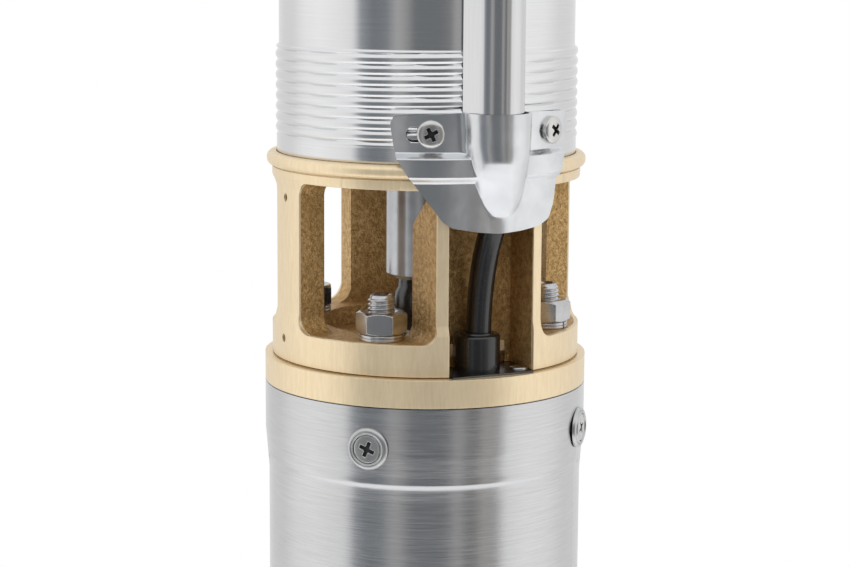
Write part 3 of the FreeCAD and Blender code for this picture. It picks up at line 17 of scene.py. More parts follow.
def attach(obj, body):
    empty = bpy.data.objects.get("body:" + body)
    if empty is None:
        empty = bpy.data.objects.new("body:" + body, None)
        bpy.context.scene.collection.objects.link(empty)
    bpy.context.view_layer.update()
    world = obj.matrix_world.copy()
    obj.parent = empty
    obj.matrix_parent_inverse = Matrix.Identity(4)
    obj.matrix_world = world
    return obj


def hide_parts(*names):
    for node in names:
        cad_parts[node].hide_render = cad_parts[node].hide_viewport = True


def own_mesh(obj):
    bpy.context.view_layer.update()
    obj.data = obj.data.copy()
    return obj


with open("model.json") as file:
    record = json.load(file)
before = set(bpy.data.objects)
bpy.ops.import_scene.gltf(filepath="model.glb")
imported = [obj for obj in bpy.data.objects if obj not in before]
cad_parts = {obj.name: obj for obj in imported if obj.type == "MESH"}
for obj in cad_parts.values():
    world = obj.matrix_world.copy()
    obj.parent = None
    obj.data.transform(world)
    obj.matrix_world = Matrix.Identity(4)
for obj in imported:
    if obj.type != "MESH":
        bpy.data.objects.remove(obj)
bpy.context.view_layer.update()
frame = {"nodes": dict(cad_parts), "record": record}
nodes = frame["nodes"]

MM = 0.001
JOINT = 0.300
JOINT_MM = JOINT / MM


# Camera

VIEW_ANGLE = math.radians(-25.6)
PITCH = math.radians(9.15)
ROLL = math.radians(0.35)
EYE_DISTANCE = 0.6621
EYE_SHIFT = -0.00013
EYE_RISE = 0.1269
SENSOR_WIDTH = 36.0
LENS = 93.176
NEAR_CLIP = 0.01


def place_camera():
    """The photograph's view: a long lens in front of the barrel that looks slightly down.
    Its axes are those of the view angle, turned by the pitch and then by the roll."""
    ahead = Vector((-math.sin(VIEW_ANGLE), math.cos(VIEW_ANGLE), 0))
    right = Vector((math.cos(VIEW_ANGLE), math.sin(VIEW_ANGLE), 0))
    look = ahead * math.cos(PITCH) - Vector((0, 0, math.sin(PITCH)))
    up = right.cross(look)
    turned_right = right * math.cos(ROLL) + up * math.sin(ROLL)
    turned_up = up * math.cos(ROLL) - right * math.sin(ROLL)
    camera = bpy.data.objects.new("camera", bpy.data.cameras.new("camera"))
    bpy.context.scene.collection.objects.link(camera)
    axes = Matrix((turned_right, turned_up, -look)).transposed().to_4x4()
    place = right * EYE_SHIFT - ahead * EYE_DISTANCE + Vector((0, 0, JOINT + EYE_RISE))
    camera.matrix_world = Matrix.Translation(place) @ axes
    camera.data.sensor_width = SENSOR_WIDTH
    camera.data.lens = LENS
    camera.data.clip_start = NEAR_CLIP
    bpy.context.scene.camera = camera


place_camera()


# Meshes

MERGE_DISTANCE = 1e-6


def link(name, data):
    """New object with the data, in the scene."""
    made = bpy.data.objects.new(name, data)
    bpy.context.scene.collection.objects.link(made)
    return made


def grid_faces(rows, columns, wrap=False):
    """Corner numbers of the cells of a grid of points; wrap joins the last column to the
    first."""
    index = np.arange(rows * columns).reshape(rows, columns)
    if wrap:
        index = np.concatenate([index, index[:, :1]], axis=1)
    return np.stack([index[:-1, :-1], index[:-1, 1:], index[1:, 1:], index[1:, :-1]],
                    axis=-1).reshape(-1, 4)


def mesh_piece(name, grids, wrap=False, smooth_angle=40.0, marks=None):
    """One object from grids of points, with doubled points merged and edges sharper than
    the angle kept sharp. The marks are each face's material number."""
    points = []
    faces = []
    count = 0
    for grid in grids:
        rows, columns = grid.shape[:2]
        points.append(grid.reshape(-1, 3))
        faces.append(grid_faces(rows, columns, wrap) + count)
        count += rows * columns
    data = bpy.data.meshes.new(name)
    data.from_pydata(np.concatenate(points).tolist(), [], np.concatenate(faces).tolist())
    if marks is not None:
        data.polygons.foreach_set("material_index", marks)
    work = bmesh.new()
    work.from_mesh(data)
    bmesh.ops.remove_doubles(work, verts=work.verts, dist=MERGE_DISTANCE)
    limit = math.radians(smooth_angle)
    for edge in work.edges:
        edge.smooth = len(edge.link_faces) == 2 and edge.calc_face_angle(0.0) < limit
    for face in work.faces:
        face.smooth = True
    work.to_mesh(data)
    work.free()
    return link(name, data)


def about_axis(radius, angle, height):
    """Grid of points from their radius and angle about the Z axis and their height."""
    radius, angle, height = np.broadcast_arrays(radius, angle, height)
    return np.stack([radius * np.cos(angle), radius * np.sin(angle), height], axis=-1)


def circle(steps):
    """Angles all the way round, as one row."""
    return np.linspace(0, 2 * np.pi, steps, endpoint=False)[None, :]


def turned(profile, steps):
    """Grid of a profile of radius and height carried round the Z axis."""
    radius, height = np.asarray(profile, float).T[:, :, None]
    return about_axis(radius, circle(steps), height)


def closed_ends(grid):
    """The grid with a row more at both ends, at the middle of the row that it closes."""
    middle = grid[[0, -1]].mean(axis=1, keepdims=True) * np.ones((1, grid.shape[1], 1))
    return np.concatenate([middle[:1], grid, middle[1:]])


def part_ring(profile, degrees):
    """Grid of a closed section of radius and height carried through angles from the guard,
    with both its ends closed."""
    radius, height = np.array(profile).T
    angle = np.radians(degrees)
    return closed_ends(np.stack([
        np.outer(np.sin(angle), radius), -np.outer(np.cos(angle), radius),
        np.outer(np.ones_like(angle), height)], axis=-1))


def smooth_step(low, high, value):
    """0 below low, 1 above high, and 3s^2 - 2s^3 of the share between them."""
    share = np.clip((value - low) / (high - low), 0, 1)
    return share * share * (3 - 2 * share)


# Finishes

class Value:
    """A socket of a node tree; + - * / and ** on it add the Math nodes."""

    def __init__(self, finish, socket):
        self.finish = finish
        self.socket = socket

    def __add__(self, other):
        return self.finish.maths("ADD", self, other)

    __radd__ = __add__

    def __sub__(self, other):
        return self.finish.maths("SUBTRACT", self, other)

    def __rsub__(self, other):
        return self.finish.maths("SUBTRACT", other, self)

    def __mul__(self, other):
        return self.finish.maths("MULTIPLY", self, other)

    __rmul__ = __mul__

    def __truediv__(self, other):
        return self.finish.maths("DIVIDE", self, other)

    def __pow__(self, other):
        return self.finish.maths("POWER", self, other)


class Finish:
    """A material, or the world, under construction."""

    def __init__(self, owner):
        owner.use_nodes = True
        self.owner = owner
        self.tree = owner.node_tree
        self.tree.nodes.clear()

    def add(self, kind, settings=None, values=None, out=0):
        """Any node: its settings first, a ramp's stops among them, then the values or links
        of its sockets."""
        node = self.tree.nodes.new(kind)
        for key, value in (settings or {}).items():
            if key == "stops":
                ramp = node.color_ramp.elements
                while len(ramp) < len(value):
                    ramp.new(0.5)
                for stop, (place, shade) in zip(ramp, value):
                    stop.position = place
                    stop.color = tuple(shade) + (1,) if isinstance(shade, tuple) else (
                        shade, shade, shade, 1)
            else:
                setattr(node, key, value)
        for key, value in (values or {}).items():
            socket = node.inputs[key]
            if isinstance(value, Value):
                self.tree.links.new(value.socket, socket)
            elif socket.type == "RGBA" and len(value) == 3:
                socket.default_value = tuple(value) + (1,)
            else:
                socket.default_value = value
        return Value(self, node.outputs[out]) if len(node.outputs) else node

    def maths(self, operation, *values):
        """Math node, whose operands are the values in their order."""
        return self.add("ShaderNodeMath", {"operation": operation}, dict(enumerate(values)))

    def outputs(self, kind, names, values=None):
        """Several outputs of one node."""
        node = self.add(kind, None, values).socket.node
        return [Value(self, node.outputs[name]) for name in names]

    def apart(self, vector):
        """The x, y and z of a vector."""
        return self.outputs("ShaderNodeSeparateXYZ", "XYZ", {0: vector})

    def place(self):
        """Object coordinates, in metres."""
        return self.add("ShaderNodeTexCoord", out="Object")

    def stretched(self, scale):
        """Object coordinates multiplied by three factors, so that a pattern gets longer
        where the factor is small."""
        return self.add("ShaderNodeVectorMath", {"operation": "MULTIPLY"},
                        {0: self.place(), 1: scale})

    def noise(self, vector, scale, detail=3.0, roughness=0.5):
        """Noise from 0 to 1, whose features are about 1 / scale of the vector's unit apart."""
        return self.add("ShaderNodeTexNoise", None,
                        {"Vector": vector, "Scale": scale, "Detail": detail,
                         "Roughness": roughness}, "Fac")

    def between(self, share, low, high, limits=(0.0, 1.0)):
        """Straight map of a share between the limits onto the values low to high."""
        return self.add("ShaderNodeMapRange", None, {
            "Value": share, "From Min": limits[0], "From Max": limits[1],
            "To Min": low, "To Max": high})

    def blend(self, share, first, second):
        """Colour between two colours."""
        return self.add("ShaderNodeMix", {"data_type": "RGBA"},
                        {0: share, 6: first, 7: second}, 2)

    def bump(self, height, strength, distance, normal=None):
        """Normal bent by a height that is a share of the distance, over another normal."""
        values = {"Height": height, "Strength": strength, "Distance": distance}
        if normal is not None:
            values["Normal"] = normal
        return self.add("ShaderNodeBump", None, values)

    def surface(self, values):
        """Principled shader with these socket values, on the material's output."""
        shader = self.add("ShaderNodeBsdfPrincipled", None, values)
        self.add("ShaderNodeOutputMaterial", None, {"Surface": shader})
        return self.owner


BRUSHED = {"Anisotropic": 0.6, "Anisotropic Rotation": 0.25}
BRUSH_ROUND = (45.0, 45.0, 5200.0)
BRUSH_UPRIGHT = (4200.0, 4200.0, 45.0)
BRUSH_SHELL = (80.0, 80.0, 5200.0)
SCUFF = (900.0, 900.0, 260.0)
GRAIN_UPRIGHT = (1100.0, 1100.0, 160.0)


def new_finish(name):
    """Empty material."""
    return Finish(bpy.data.materials.new(name))


def shaded(colour, share):
    """Colour made darker or paler by a share."""
    return tuple(share * part for part in colour)


def brushed_steel(name, tint, rough, depth, stretch=BRUSH_ROUND):
    """Stainless sheet brushed one way, round the axis or up: noise stretched along the
    brushing varies the roughness, the tone and a fine bump."""
    finish = new_finish(name)
    lines = finish.noise(finish.stretched(stretch), 1.0, 2.0, 0.65)
    cloud = finish.noise(finish.place(), 28.0, 2.0)
    tone = finish.between(lines * 0.6 + cloud * 0.4, 0.0, 1.0, (0.3, 0.7))
    shade = finish.blend(tone, shaded(tint, 0.90), tint)
    return finish.surface({
        "Base Color": shade, "Metallic": 1.0, **BRUSHED,
        "Roughness": finish.between(lines, rough - 0.04, rough + 0.05, (0.3, 0.7)),
        "Normal": finish.bump(lines, 1.0, depth)})


# Heights and colour of the painted shadow in the gap under the flange, on the shell's top edge
SHELL_SHADOW_BAND = (JOINT - 0.00862, JOINT - 0.0084)
GAP_SHADOW_COLOUR = (0.03, 0.025, 0.02)
CREASE_LEVEL = 0.2692
CREASE_WIDTH = 0.0011
CREASE_HEIGHT = 0.00027


def shell_steel(name, tint, rough):
    """Shell brushed round the axis: a painted shadow of the gap under the flange darkens its
    upper edge, with a fine raised line round it where the sheet was widened, CREASE_HEIGHT
    exp(-((z - CREASE_LEVEL) / CREASE_WIDTH)^2)."""
    finish = new_finish(name)
    lines = finish.noise(finish.stretched(BRUSH_SHELL), 1.0, 3.0, 0.7)
    cloud = finish.noise(finish.place(), 28.0, 2.0)
    level = finish.apart(finish.place())[2]
    tone = finish.between(lines * 0.75 + cloud * 0.25, 0.0, 1.0, (0.36, 0.64))
    shade = finish.blend(tone, shaded(tint, 0.89), shaded(tint, 1.04))
    # painted shadow: the shell's top edge darkened towards near-black under the flange
    edge = finish.between(level, 0.0, 1.0, SHELL_SHADOW_BAND)
    away = (level - CREASE_LEVEL) / CREASE_WIDTH
    crease = finish.maths("EXPONENT", 0.0 - away * away)
    brushed = finish.bump(lines, 1.0, 0.000010)
    return finish.surface({
        "Base Color": finish.blend(edge, shade, GAP_SHADOW_COLOUR), "Metallic": 1.0, **BRUSHED,
        "Roughness": finish.between(lines, rough - 0.05, rough + 0.07, (0.3, 0.7)),
        "Normal": finish.bump(crease, 1.0, CREASE_HEIGHT, brushed)})


def polished_sheet(name, tint, rough):
    """Pressed and polished stainless sheet: faint waves in its tone and bump, and fine
    upright scuffs in its roughness."""
    finish = new_finish(name)
    wave = finish.noise(finish.place(), 110.0, 2.0)
    scuff = finish.noise(finish.stretched(SCUFF), 1.0, 3.0, 0.7)
    shade = finish.blend(finish.between(wave, 0.0, 1.0, (0.35, 0.65)), shaded(tint, 0.88),
                         tint)
    return finish.surface({
        "Base Color": shade, "Metallic": 1.0,
        "Roughness": finish.between(scuff, rough, rough + 0.03, (0.35, 0.75)),
        "Normal": finish.bump(wave, 0.35, 0.0005)})


def bright_steel(name, tint, rough, edge=0.00025, metal=1.0):
    """Turned or cold-headed steel part: clean, its tone faintly clouded, its edges worn
    round."""
    finish = new_finish(name)
    cloud = finish.noise(finish.place(), 260.0, 2.0)
    grain = finish.noise(finish.place(), 2600.0, 2.0)
    shade = finish.blend(finish.between(cloud, 0.0, 1.0, (0.3, 0.7)), shaded(tint, 0.88),
                         tint)
    worn = finish.add("ShaderNodeBevel", {"samples": 4}, {"Radius": edge})
    return finish.surface({
        "Base Color": shade, "Metallic": metal,
        "Roughness": finish.between(grain, rough - 0.03, rough + 0.05, (0.3, 0.7)),
        "Normal": finish.bump(grain, 0.3, 0.000001, worn)})


CAST_DARK, CAST_PALE = (0.42, 0.25, 0.09), (0.74, 0.50, 0.23)
TURNED_DARK, TURNED_PALE = (0.815, 0.65, 0.42), (0.895, 0.74, 0.50)
# Colour, height, width and reach of the painted shadow in the gap just over the joint
SEAM_SHADOW_COLOUR = (0.045, 0.022, 0.008)
SEAM_SHADOW_RISE = 0.0003
SEAM_SHADOW_EDGE = (0.0001, 0.00022)
SEAM_SHADOW_REACH = (0.04802, 0.04808)
MASK_EDGE = 0.0002


def cast_brass(name, turned_from):
    """Brass: outside a radius turned bright, with fine upright grain, and inside it as cast,
    darker, stained and pebbled. A painted shadow of the gap over the joint lies where |z -
    JOINT - SEAM_SHADOW_RISE| is small, on what reaches no further out than SEAM_SHADOW_REACH."""
    finish = new_finish(name)
    place = finish.place()
    grain = finish.noise(place, 2300.0, 2.0, 0.6)
    lumps = finish.noise(place, 700.0, 2.0)
    stain = finish.noise(place, 90.0, 2.0)
    lines = finish.noise(finish.stretched(GRAIN_UPRIGHT), 1.0, 3.0, 0.7)
    x, y, z = finish.apart(place)
    radius = (x * x + y * y) ** 0.5
    # painted shadow: a dark line just over the joint, where the casing's foot meets the flange
    seam_shadow = finish.between(finish.maths("ABSOLUTE", z - JOINT - SEAM_SHADOW_RISE), 1.0, 0.0, SEAM_SHADOW_EDGE)
    seam_shadow = seam_shadow * finish.between(radius, 1.0, 0.0, SEAM_SHADOW_REACH)
    mask = finish.between(radius, 0.0, 1.0, (turned_from - MASK_EDGE, turned_from))
    pebble = finish.between(lumps * 0.5 + grain * 0.5, 0.0, 1.0, (0.40, 0.60))
    cast = finish.blend(pebble, CAST_DARK, CAST_PALE)
    cast = finish.blend(finish.between(stain, 0.0, 0.4, (0.4, 0.7)), cast, CAST_DARK)
    bright = finish.blend(finish.between(lines, 0.0, 1.0, (0.3, 0.7)), TURNED_DARK,
                          TURNED_PALE)
    worn = finish.add("ShaderNodeBevel", {"samples": 4}, {"Radius": 0.0004})
    rough_bump = finish.bump((grain * 0.5 + lumps * 0.9) * (1 - mask), 1.0, 0.0005, worn)
    return finish.surface({
        "Base Color": finish.blend(seam_shadow, finish.blend(mask, cast, bright), SEAM_SHADOW_COLOUR),
        "Metallic": finish.between(mask, 0.85, 0.74),
        "Roughness": finish.between(mask, 0.46, 0.36),
        "Anisotropic": 0.4, "Anisotropic Rotation": 0.25,
        "Normal": finish.bump(lines * mask, 0.4, 0.00003, rough_bump)})


def dull_part(name, shade, rough, grain_scale=600.0, depth=0.00005, gloss=0.5):
    """Rubber, carbon or moulded plastic, clouded in tone, with a fine grain."""
    finish = new_finish(name)
    grain = finish.noise(finish.place(), grain_scale, 3.0)
    cloud = finish.noise(finish.place(), 60.0, 2.0)
    colour = finish.blend(finish.between(cloud, 0.0, 1.0, (0.3, 0.7)), shade,
                          shaded(shade, 1.35))
    return finish.surface({
        "Base Color": colour, "Specular IOR Level": gloss,
        "Roughness": finish.between(grain, rough - 0.05, rough + 0.08, (0.3, 0.7)),
        "Normal": finish.bump(grain, 0.4, depth)})


# Name, tint and roughness, and then what the finish's own function takes besides
SHELL = shell_steel("brushed_shell", (0.68, 0.68, 0.685), 0.20)
BARREL = brushed_steel("brushed_barrel", (0.83, 0.83, 0.835), 0.14, 0.000005)
SHEET = polished_sheet("polished_sheet", (0.79, 0.80, 0.815), 0.21)
GUARD = brushed_steel("guard_sheet", (0.76, 0.76, 0.77), 0.13, 0.000004, BRUSH_UPRIGHT)
BRIGHT = bright_steel("bright_steel", (0.74, 0.73, 0.71), 0.20)
FASTENER = bright_steel("satin_fastener", (0.62, 0.615, 0.625), 0.22, 0.0004)
CUP = bright_steel("cup_steel", (0.62, 0.62, 0.62), 0.30)
# near-black steel: painted shade for the deep faces of the screws' cross recesses
RECESS_PAINTED_SHADE = bright_steel("recess_painted_shade", (0.03, 0.03, 0.033), 0.50, 0.00025, 0.3)
PLATE = bright_steel("dull_plate", (0.15, 0.153, 0.16), 0.30)
TURNED = bright_steel("turned_steel", (0.64, 0.655, 0.675), 0.22, 0.00025, 0.75)
BRASS = cast_brass("cast_brass", 0.0454)
HEAD_BRASS = cast_brass("head_brass", 0.0440)
COPPER = bright_steel("copper_wire", (0.75, 0.38, 0.20), 0.35)
SHEETS = bright_steel("core_sheets", (0.16, 0.16, 0.17), 0.45)
RUBBER = dull_part("black_rubber", (0.005, 0.005, 0.0055), 0.20, 900.0, 0.000003, 0.85)
CARBON = dull_part("carbon", (0.03, 0.03, 0.032), 0.35)
PLASTIC = dull_part("stage_plastic", (0.60, 0.56, 0.48), 0.45)

SLOT_FINISH = {"stainless_brushed": SHELL, "stainless_polished": SHEET,
               "steel_bright": BRIGHT, "brass_cast": BRASS, "copper": COPPER,
               "laminations": SHEETS, "rubber_black": RUBBER, "carbon": CARBON,
               "stage_plastic": PLASTIC}
NODE_FINISH = {"pump_barrel": BARREL, "cable_guard": GUARD, "discharge_head": HEAD_BRASS,
               "motor_shaft": TURNED, "coupling": TURNED, "pump_shaft": TURNED,
               "gland_plate": PLATE}


def paint(piece, *finishes):
    """Give the piece its finishes; clearing the slots would put every face back to the
    first."""
    for _ in finishes[len(piece.data.materials):]:
        piece.data.materials.append(None)
    for index, finish in enumerate(finishes):
        piece.data.materials[index] = finish


for entry in frame["record"]["subparts"]:
    name = entry["node"]
    paint(nodes[name], NODE_FINISH.get(name, SLOT_FINISH[entry["material_slot"]]))


# Lead: its route's heights are above the floor

LEAD_RADIUS = 3.75
LEAD_ROUTE = [
    (0, -35.8, 311), (0, -36.4, 327), (1.9, -42.0, 346), (1.7, -50, 360.7), (0.3, -49.1, 388),
    (-0.3, -49.2, 436), (0.4, -49.3, 498), (-0.2, -49.2, 552), (0.2, -49.2, 596),
    (4.5, -50.5, 623), (20.5, -45.5, 645.5), (38.5, -27.5, 656), (48, -1.5, 653.5),
    (47, 24.5, 641), (40.5, 43, 616.5), (33, 53, 583), (27.5, 54.5, 538), (25, 52.5, 484),
    (24, 51, 428), (25.5, 52.5, 368), (23.8, 51, 304), (26, 52.3, 238), (30, 49.3, 172),
    (36.5, 44.5, 118), (40.5, 38.5, 76), (41.5, 43, 44.5), (42, 58, 18.5), (41.6, 82, 4.5),
    (41, 106, 3.75)]
COIL_CENTRE = (-3.75, 106.0)
COIL_RADIUS = 44.75
COIL_CLIMB = 6.5
COIL_LIFT = 1.0
COIL_STEP = 20
COIL_END = 970
INWARD_RANGE = (310, 360)
CLIMB_RANGE = (620, 670)
LIFT_RANGE = (665, 715)


def coil_points():
    """Turns of the coil as (x, y, z) in millimetres: an outer and an inner turn on the floor,
    a diameter apart, then most of a turn on top and between the two, with the radius and
    height eased over their ranges in degrees. The points lie outside the line by the amount
    that the spline cuts inside its corners."""
    angle = np.arange(COIL_STEP, COIL_END + 1, COIL_STEP, dtype=float)
    inward = smooth_step(*INWARD_RANGE, angle)
    climb = smooth_step(*CLIMB_RANGE, angle)
    lift = smooth_step(*LIFT_RANGE, angle)
    radius = COIL_RADIUS - 2 * LEAD_RADIUS * inward + LEAD_RADIUS * climb
    height = LEAD_RADIUS + COIL_CLIMB * climb + COIL_LIFT * lift
    swell = 1 / math.cos(math.radians(COIL_STEP / 2))
    turn = np.radians(angle)
    return np.stack([COIL_CENTRE[0] + radius * swell * np.cos(turn),
                     COIL_CENTRE[1] + radius * swell * np.sin(turn), height], axis=-1)


def make_lead():
    """The lead as one spline: the route's points, then the coil's turns."""
    points = np.concatenate([np.array(LEAD_ROUTE, float), coil_points()]) * MM
    curve = bpy.data.curves.new("lead", "CURVE")
    curve.dimensions = "3D"
    curve.bevel_depth = LEAD_RADIUS * MM
    curve.bevel_resolution = 8
    curve.resolution_u = 6
    curve.use_fill_caps = True
    spline = curve.splines.new("NURBS")
    spline.points.add(len(points) - 1)
    spline.points.foreach_set("co", np.c_[points, np.ones(len(points))].ravel())
    spline.order_u = 3
    spline.use_endpoint_u = True
    lead = link("lead", curve)
    paint(lead, RUBBER)
    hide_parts("lead_cable", "lead_coil")
    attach(lead, "housing")


make_lead()


# Places of the pieces

def around(angle, height, reach=0.0):
    """Matrix from a piece's own right, up and outward axes to its place on the pump: at the
    angle from the guard, the height above the joint and the reach from the axis."""
    turn = math.radians(angle)
    out = Vector((math.sin(turn), -math.cos(turn), 0))
    right = Vector((math.cos(turn), math.sin(turn), 0))
    place = out * reach * MM + Vector((0, 0, JOINT + height * MM))
    return Matrix.Translation(place) @ Matrix((right, (0, 0, 1), out)).transposed().to_4x4()


def moved(grid, matrix):
    """Grid of points in millimetres carried by a matrix."""
    turn = np.array(matrix.to_3x3())
    return grid * MM @ turn.T + np.array(matrix.translation)


def dress(piece, finish, material_slot, body, *replaced):
    """Give a piece its finish and body, and hide the nodes that it stands for; the material
    slot is not used.
    """
    paint(piece, finish)
    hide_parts(*replaced)
    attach(piece, body)
    return piece


# Pump barrel

BARREL_FOOT = 60.5
BARREL_TOP = 278.5
BARREL_WALL = 44.25
BARREL_BORE = 43.05
BAND_RADIUS = 45.0
BAND_LENGTH = 5.0
RIB_PITCH = 3.1
RIB_TURNS = 9
RIB_ROOT = 44.45
RIB_RISE = 0.8
BARREL_STEPS = 224
RIB_STEPS = 16
RIM_BEVEL = 0.2


def rib_radius(height, angle):
    """Outside of the tube: a plain band at each end, then nine turns of a right-hand rolled
    thread, RIB_ROOT + RIB_RISE |sin(pi t)|^0.75 with t the turns from the end less the share
    of the circle, faded in and out over a third of a turn, and the plain wall between
    them."""
    near_end = np.minimum(height - BARREL_FOOT, BARREL_TOP - height) - BAND_LENGTH
    turns = (height - BARREL_FOOT - BAND_LENGTH) / RIB_PITCH - angle / (2 * np.pi)
    rib = RIB_ROOT + RIB_RISE * np.abs(np.sin(np.pi * turns)) ** 0.75
    length = RIB_TURNS * RIB_PITCH
    within = smooth_step(0, RIB_PITCH / 3, near_end) * smooth_step(
        0, RIB_PITCH / 3, length - near_end)
    plain_wall = np.where(near_end < length / 2, BAND_RADIUS, BARREL_WALL)
    return plain_wall + (rib - plain_wall) * within


def make_barrel():
    """Thin tube: rows of points up the outside, over the top rim and down the bore. The two
    ends are alike, and their outer edges are bevelled."""
    ribbed = np.linspace(0, RIB_TURNS * RIB_PITCH, RIB_TURNS * RIB_STEPS + 1) + BAND_LENGTH
    band = np.array([0.0, 0.25, 2.5, 4.75])
    low = np.concatenate([band, ribbed, [ribbed[-1] + 0.4]]) + BARREL_FOOT
    high = BARREL_TOP + BARREL_FOOT - low[::-1]
    height = np.concatenate([low, high])[:, None]
    angle = circle(BARREL_STEPS)
    radius = rib_radius(height, angle)
    radius[[0, -1]] -= RIM_BEVEL
    bore = np.full_like(radius[:1], BARREL_BORE)
    radius = np.concatenate([bore, radius, bore, bore])
    height = np.concatenate([[[BARREL_FOOT]], height, [[BARREL_TOP], [BARREL_FOOT]]])
    grid = about_axis(radius, angle, height + JOINT_MM)
    return mesh_piece("barrel_tube", [grid * MM], wrap=True, smooth_angle=60)


dress(make_barrel(), BARREL, "stainless_brushed", "housing", "pump_barrel")


# Cable guard

SHEET_WALL = 0.8
GUARD_CENTRE = 46.3
GUARD_ROUND = 8.0
GUARD_LEAN = 66.4
GUARD_FOOT = (9.6, 44.3)
GUARD_SHIFT = -0.35
GUARD_ENDS = (64.0, 286.5)


def guard_side(inset):
    """Half the channel's section from its crown, set in by the inset: a circle's arc as far
    as its tangent leans, then straight down to the barrel."""
    turn = np.radians(np.linspace(0, GUARD_LEAN, 25))
    arc = np.stack([np.sin(turn), np.cos(turn)], axis=-1) * (GUARD_ROUND - inset)
    foot = np.array(GUARD_FOOT) - (inset / math.sin(turn[-1]), 0)
    return np.concatenate([arc + (0, GUARD_CENTRE), [foot]])


def make_guard():
    """The channel's closed section, outside and inside, between its two ends, and a strip
    along each of its two long edges."""
    outside, inside = guard_side(0.0), guard_side(SHEET_WALL)
    mirror = np.array((-1, 1))
    outside = np.concatenate([outside[::-1], outside[1:] * mirror])
    inside = np.concatenate([inside[::-1], inside[1:] * mirror])
    rows = [np.c_[line[:, 0] + GUARD_SHIFT, -line[:, 1], np.full(len(line), level + JOINT_MM)]
            for line, level in ((inside, GUARD_ENDS[0]), (outside, GUARD_ENDS[0]),
                                (outside, GUARD_ENDS[1]), (inside, GUARD_ENDS[1]),
                                (inside, GUARD_ENDS[0]))]
    edges = [np.stack([rows[1][[end, end]], rows[0][[end, end]]]) for end in (0, -1)]
    for edge in edges:
        edge[:, 1, 2] = GUARD_ENDS[1] + JOINT_MM
    edges[1] = edges[1][::-1]
    return mesh_piece("guard_channel", [grid * MM for grid in [np.stack(rows)] + edges])


# Guard shoe, read off the photograph: angles of the left and right edge by height, heights
# of the toe and head by angle, and half the hump's width by height

SHOE_LEFT = np.array([(43.4, -16.1), (45.1, -19.6), (56.4, -30.1), (62.5, -34.8),
                      (63.8, -36.0), (66.0, -37.0), (73.0, -38.4), (74.6, -37.6),
                      (75.2, -35.5)])
SHOE_RIGHT = np.array([(42.8, 16.9), (44.7, 22.5), (49.5, 25.2), (54.7, 26.2),
                       (63.5, 29.0), (65.5, 33.5), (70.0, 36.4), (73.5, 36.8),
                       (74.8, 36.0), (75.2, 34.0)])
SHOE_TOE = np.array([(-22.0, 46.5), (-16.1, 43.5), (-7.4, 42.2), (0.0, 41.6), (9.1, 42.0),
                     (16.9, 42.9), (22.5, 44.7)])
SHOE_HEAD = np.array([(-38.4, 74.9), (-27.9, 75.4), (-14.6, 76.0), (11.7, 75.9),
                      (30.0, 75.4), (36.8, 75.0)])
HUMP_WIDTH = np.array([(45.5, 3.6), (48.3, 5.2), (50.6, 6.4), (53.3, 7.3), (56.2, 8.0),
                       (60.3, 8.9), (66.0, 9.8), (75.0, 10.1)])
HUMP_LEAN = 1.2
LEAN_RANGE = (50.0, 64.0)
HUMP_FOOT = 45.9
HUMP_CROWN = 55.4
HUMP_NOSE = 45.8
HUMP_SHOULDER = 63.0
HUMP_FILLET = 0.5
TONGUE_RADIUS = 47.6
BAND_RISE, BAND_STEP = 1.5, (55.9, 58.3)
FLAP_FALL, FLAP_STEP = 2.8, (63.0, 65.0)
SHOE_ROWS = ((42.0, 56.0, 60), (56.0, 58.4, 18), (58.4, 62.8, 12), (62.8, 65.4, 18))
SHOE_HEAD_ROWS = (65.4, 75.2, 24)
SLOT_PLACES = ((-27.6, 70.0), (24.4, 70.0))
SLOT_REACH = (40.0, 52.0)
SLOT_STRAIGHT = 2.0
SLOT_ROUND = 2.2


def eased(value, table, spread):
    """Straight lines through the table's points, averaged over the spread either side, so
    that its corners are rounded."""
    return np.mean([np.interp(value + shift, *table.T)
                    for shift in np.linspace(-spread, spread, 9)], axis=0)


def shoe_base(height):
    """Radius of the sheet's outside without its hump: the tongue, a smooth step out to the
    band over the bead, and one in to the flaps."""
    return (TONGUE_RADIUS + BAND_RISE * smooth_step(*BAND_STEP, height)
            - FLAP_FALL * smooth_step(*FLAP_STEP, height))


def hump_crown(height):
    """Reach of the hump's ridge: the same down to the shoulder, then a nearly straight fall
    to the nose, s^0.88 with s the share of the way up, which steepens at its tip."""
    share = (height - HUMP_NOSE) / (HUMP_SHOULDER - HUMP_NOSE)
    return TONGUE_RADIUS + (HUMP_CROWN - TONGUE_RADIUS) * np.clip(share, 0, 1) ** 0.88


def shoe_sheet(side, height):
    """Sheet points for a share from the left edge to the right: a flap up to a quarter, half
    an ellipse over the hump, and a flap again. The sheet lies on whichever stands further
    out, the base or the hump, with a small fillet between them: half of
    a + b + sqrt((a - b)^2 + HUMP_FILLET^2)."""
    base = shoe_base(height)
    half = eased(height, HUMP_WIDTH, 0.8)
    centre = HUMP_LEAN * (1 - smooth_step(*LEAN_RANGE, height))
    ridge = (hump_crown(height - 0.7) + hump_crown(height) + hump_crown(height + 0.7)) / 3
    left = base * np.sin(np.radians(eased(height, SHOE_LEFT, 0.7)))
    right = base * np.sin(np.radians(eased(height, SHOE_RIGHT, 0.7)))
    turn = np.clip((side - 0.25) * 2, 0, 1) * np.pi - np.pi / 2
    across = centre + half * np.sin(turn)
    across += (left - centre + half) * np.clip(1 - side * 4, 0, 1)
    across += (right - centre - half) * np.clip(side * 4 - 3, 0, 1)
    beyond = np.clip(np.abs(across - centre) - half, 0, None)
    hump = HUMP_FOOT + (ridge - HUMP_FOOT) * np.cos(turn) - beyond
    plain_sheet = np.sqrt(base ** 2 - across ** 2)
    out = (plain_sheet + hump + np.sqrt((plain_sheet - hump) ** 2 + HUMP_FILLET ** 2)) / 2
    return across, out


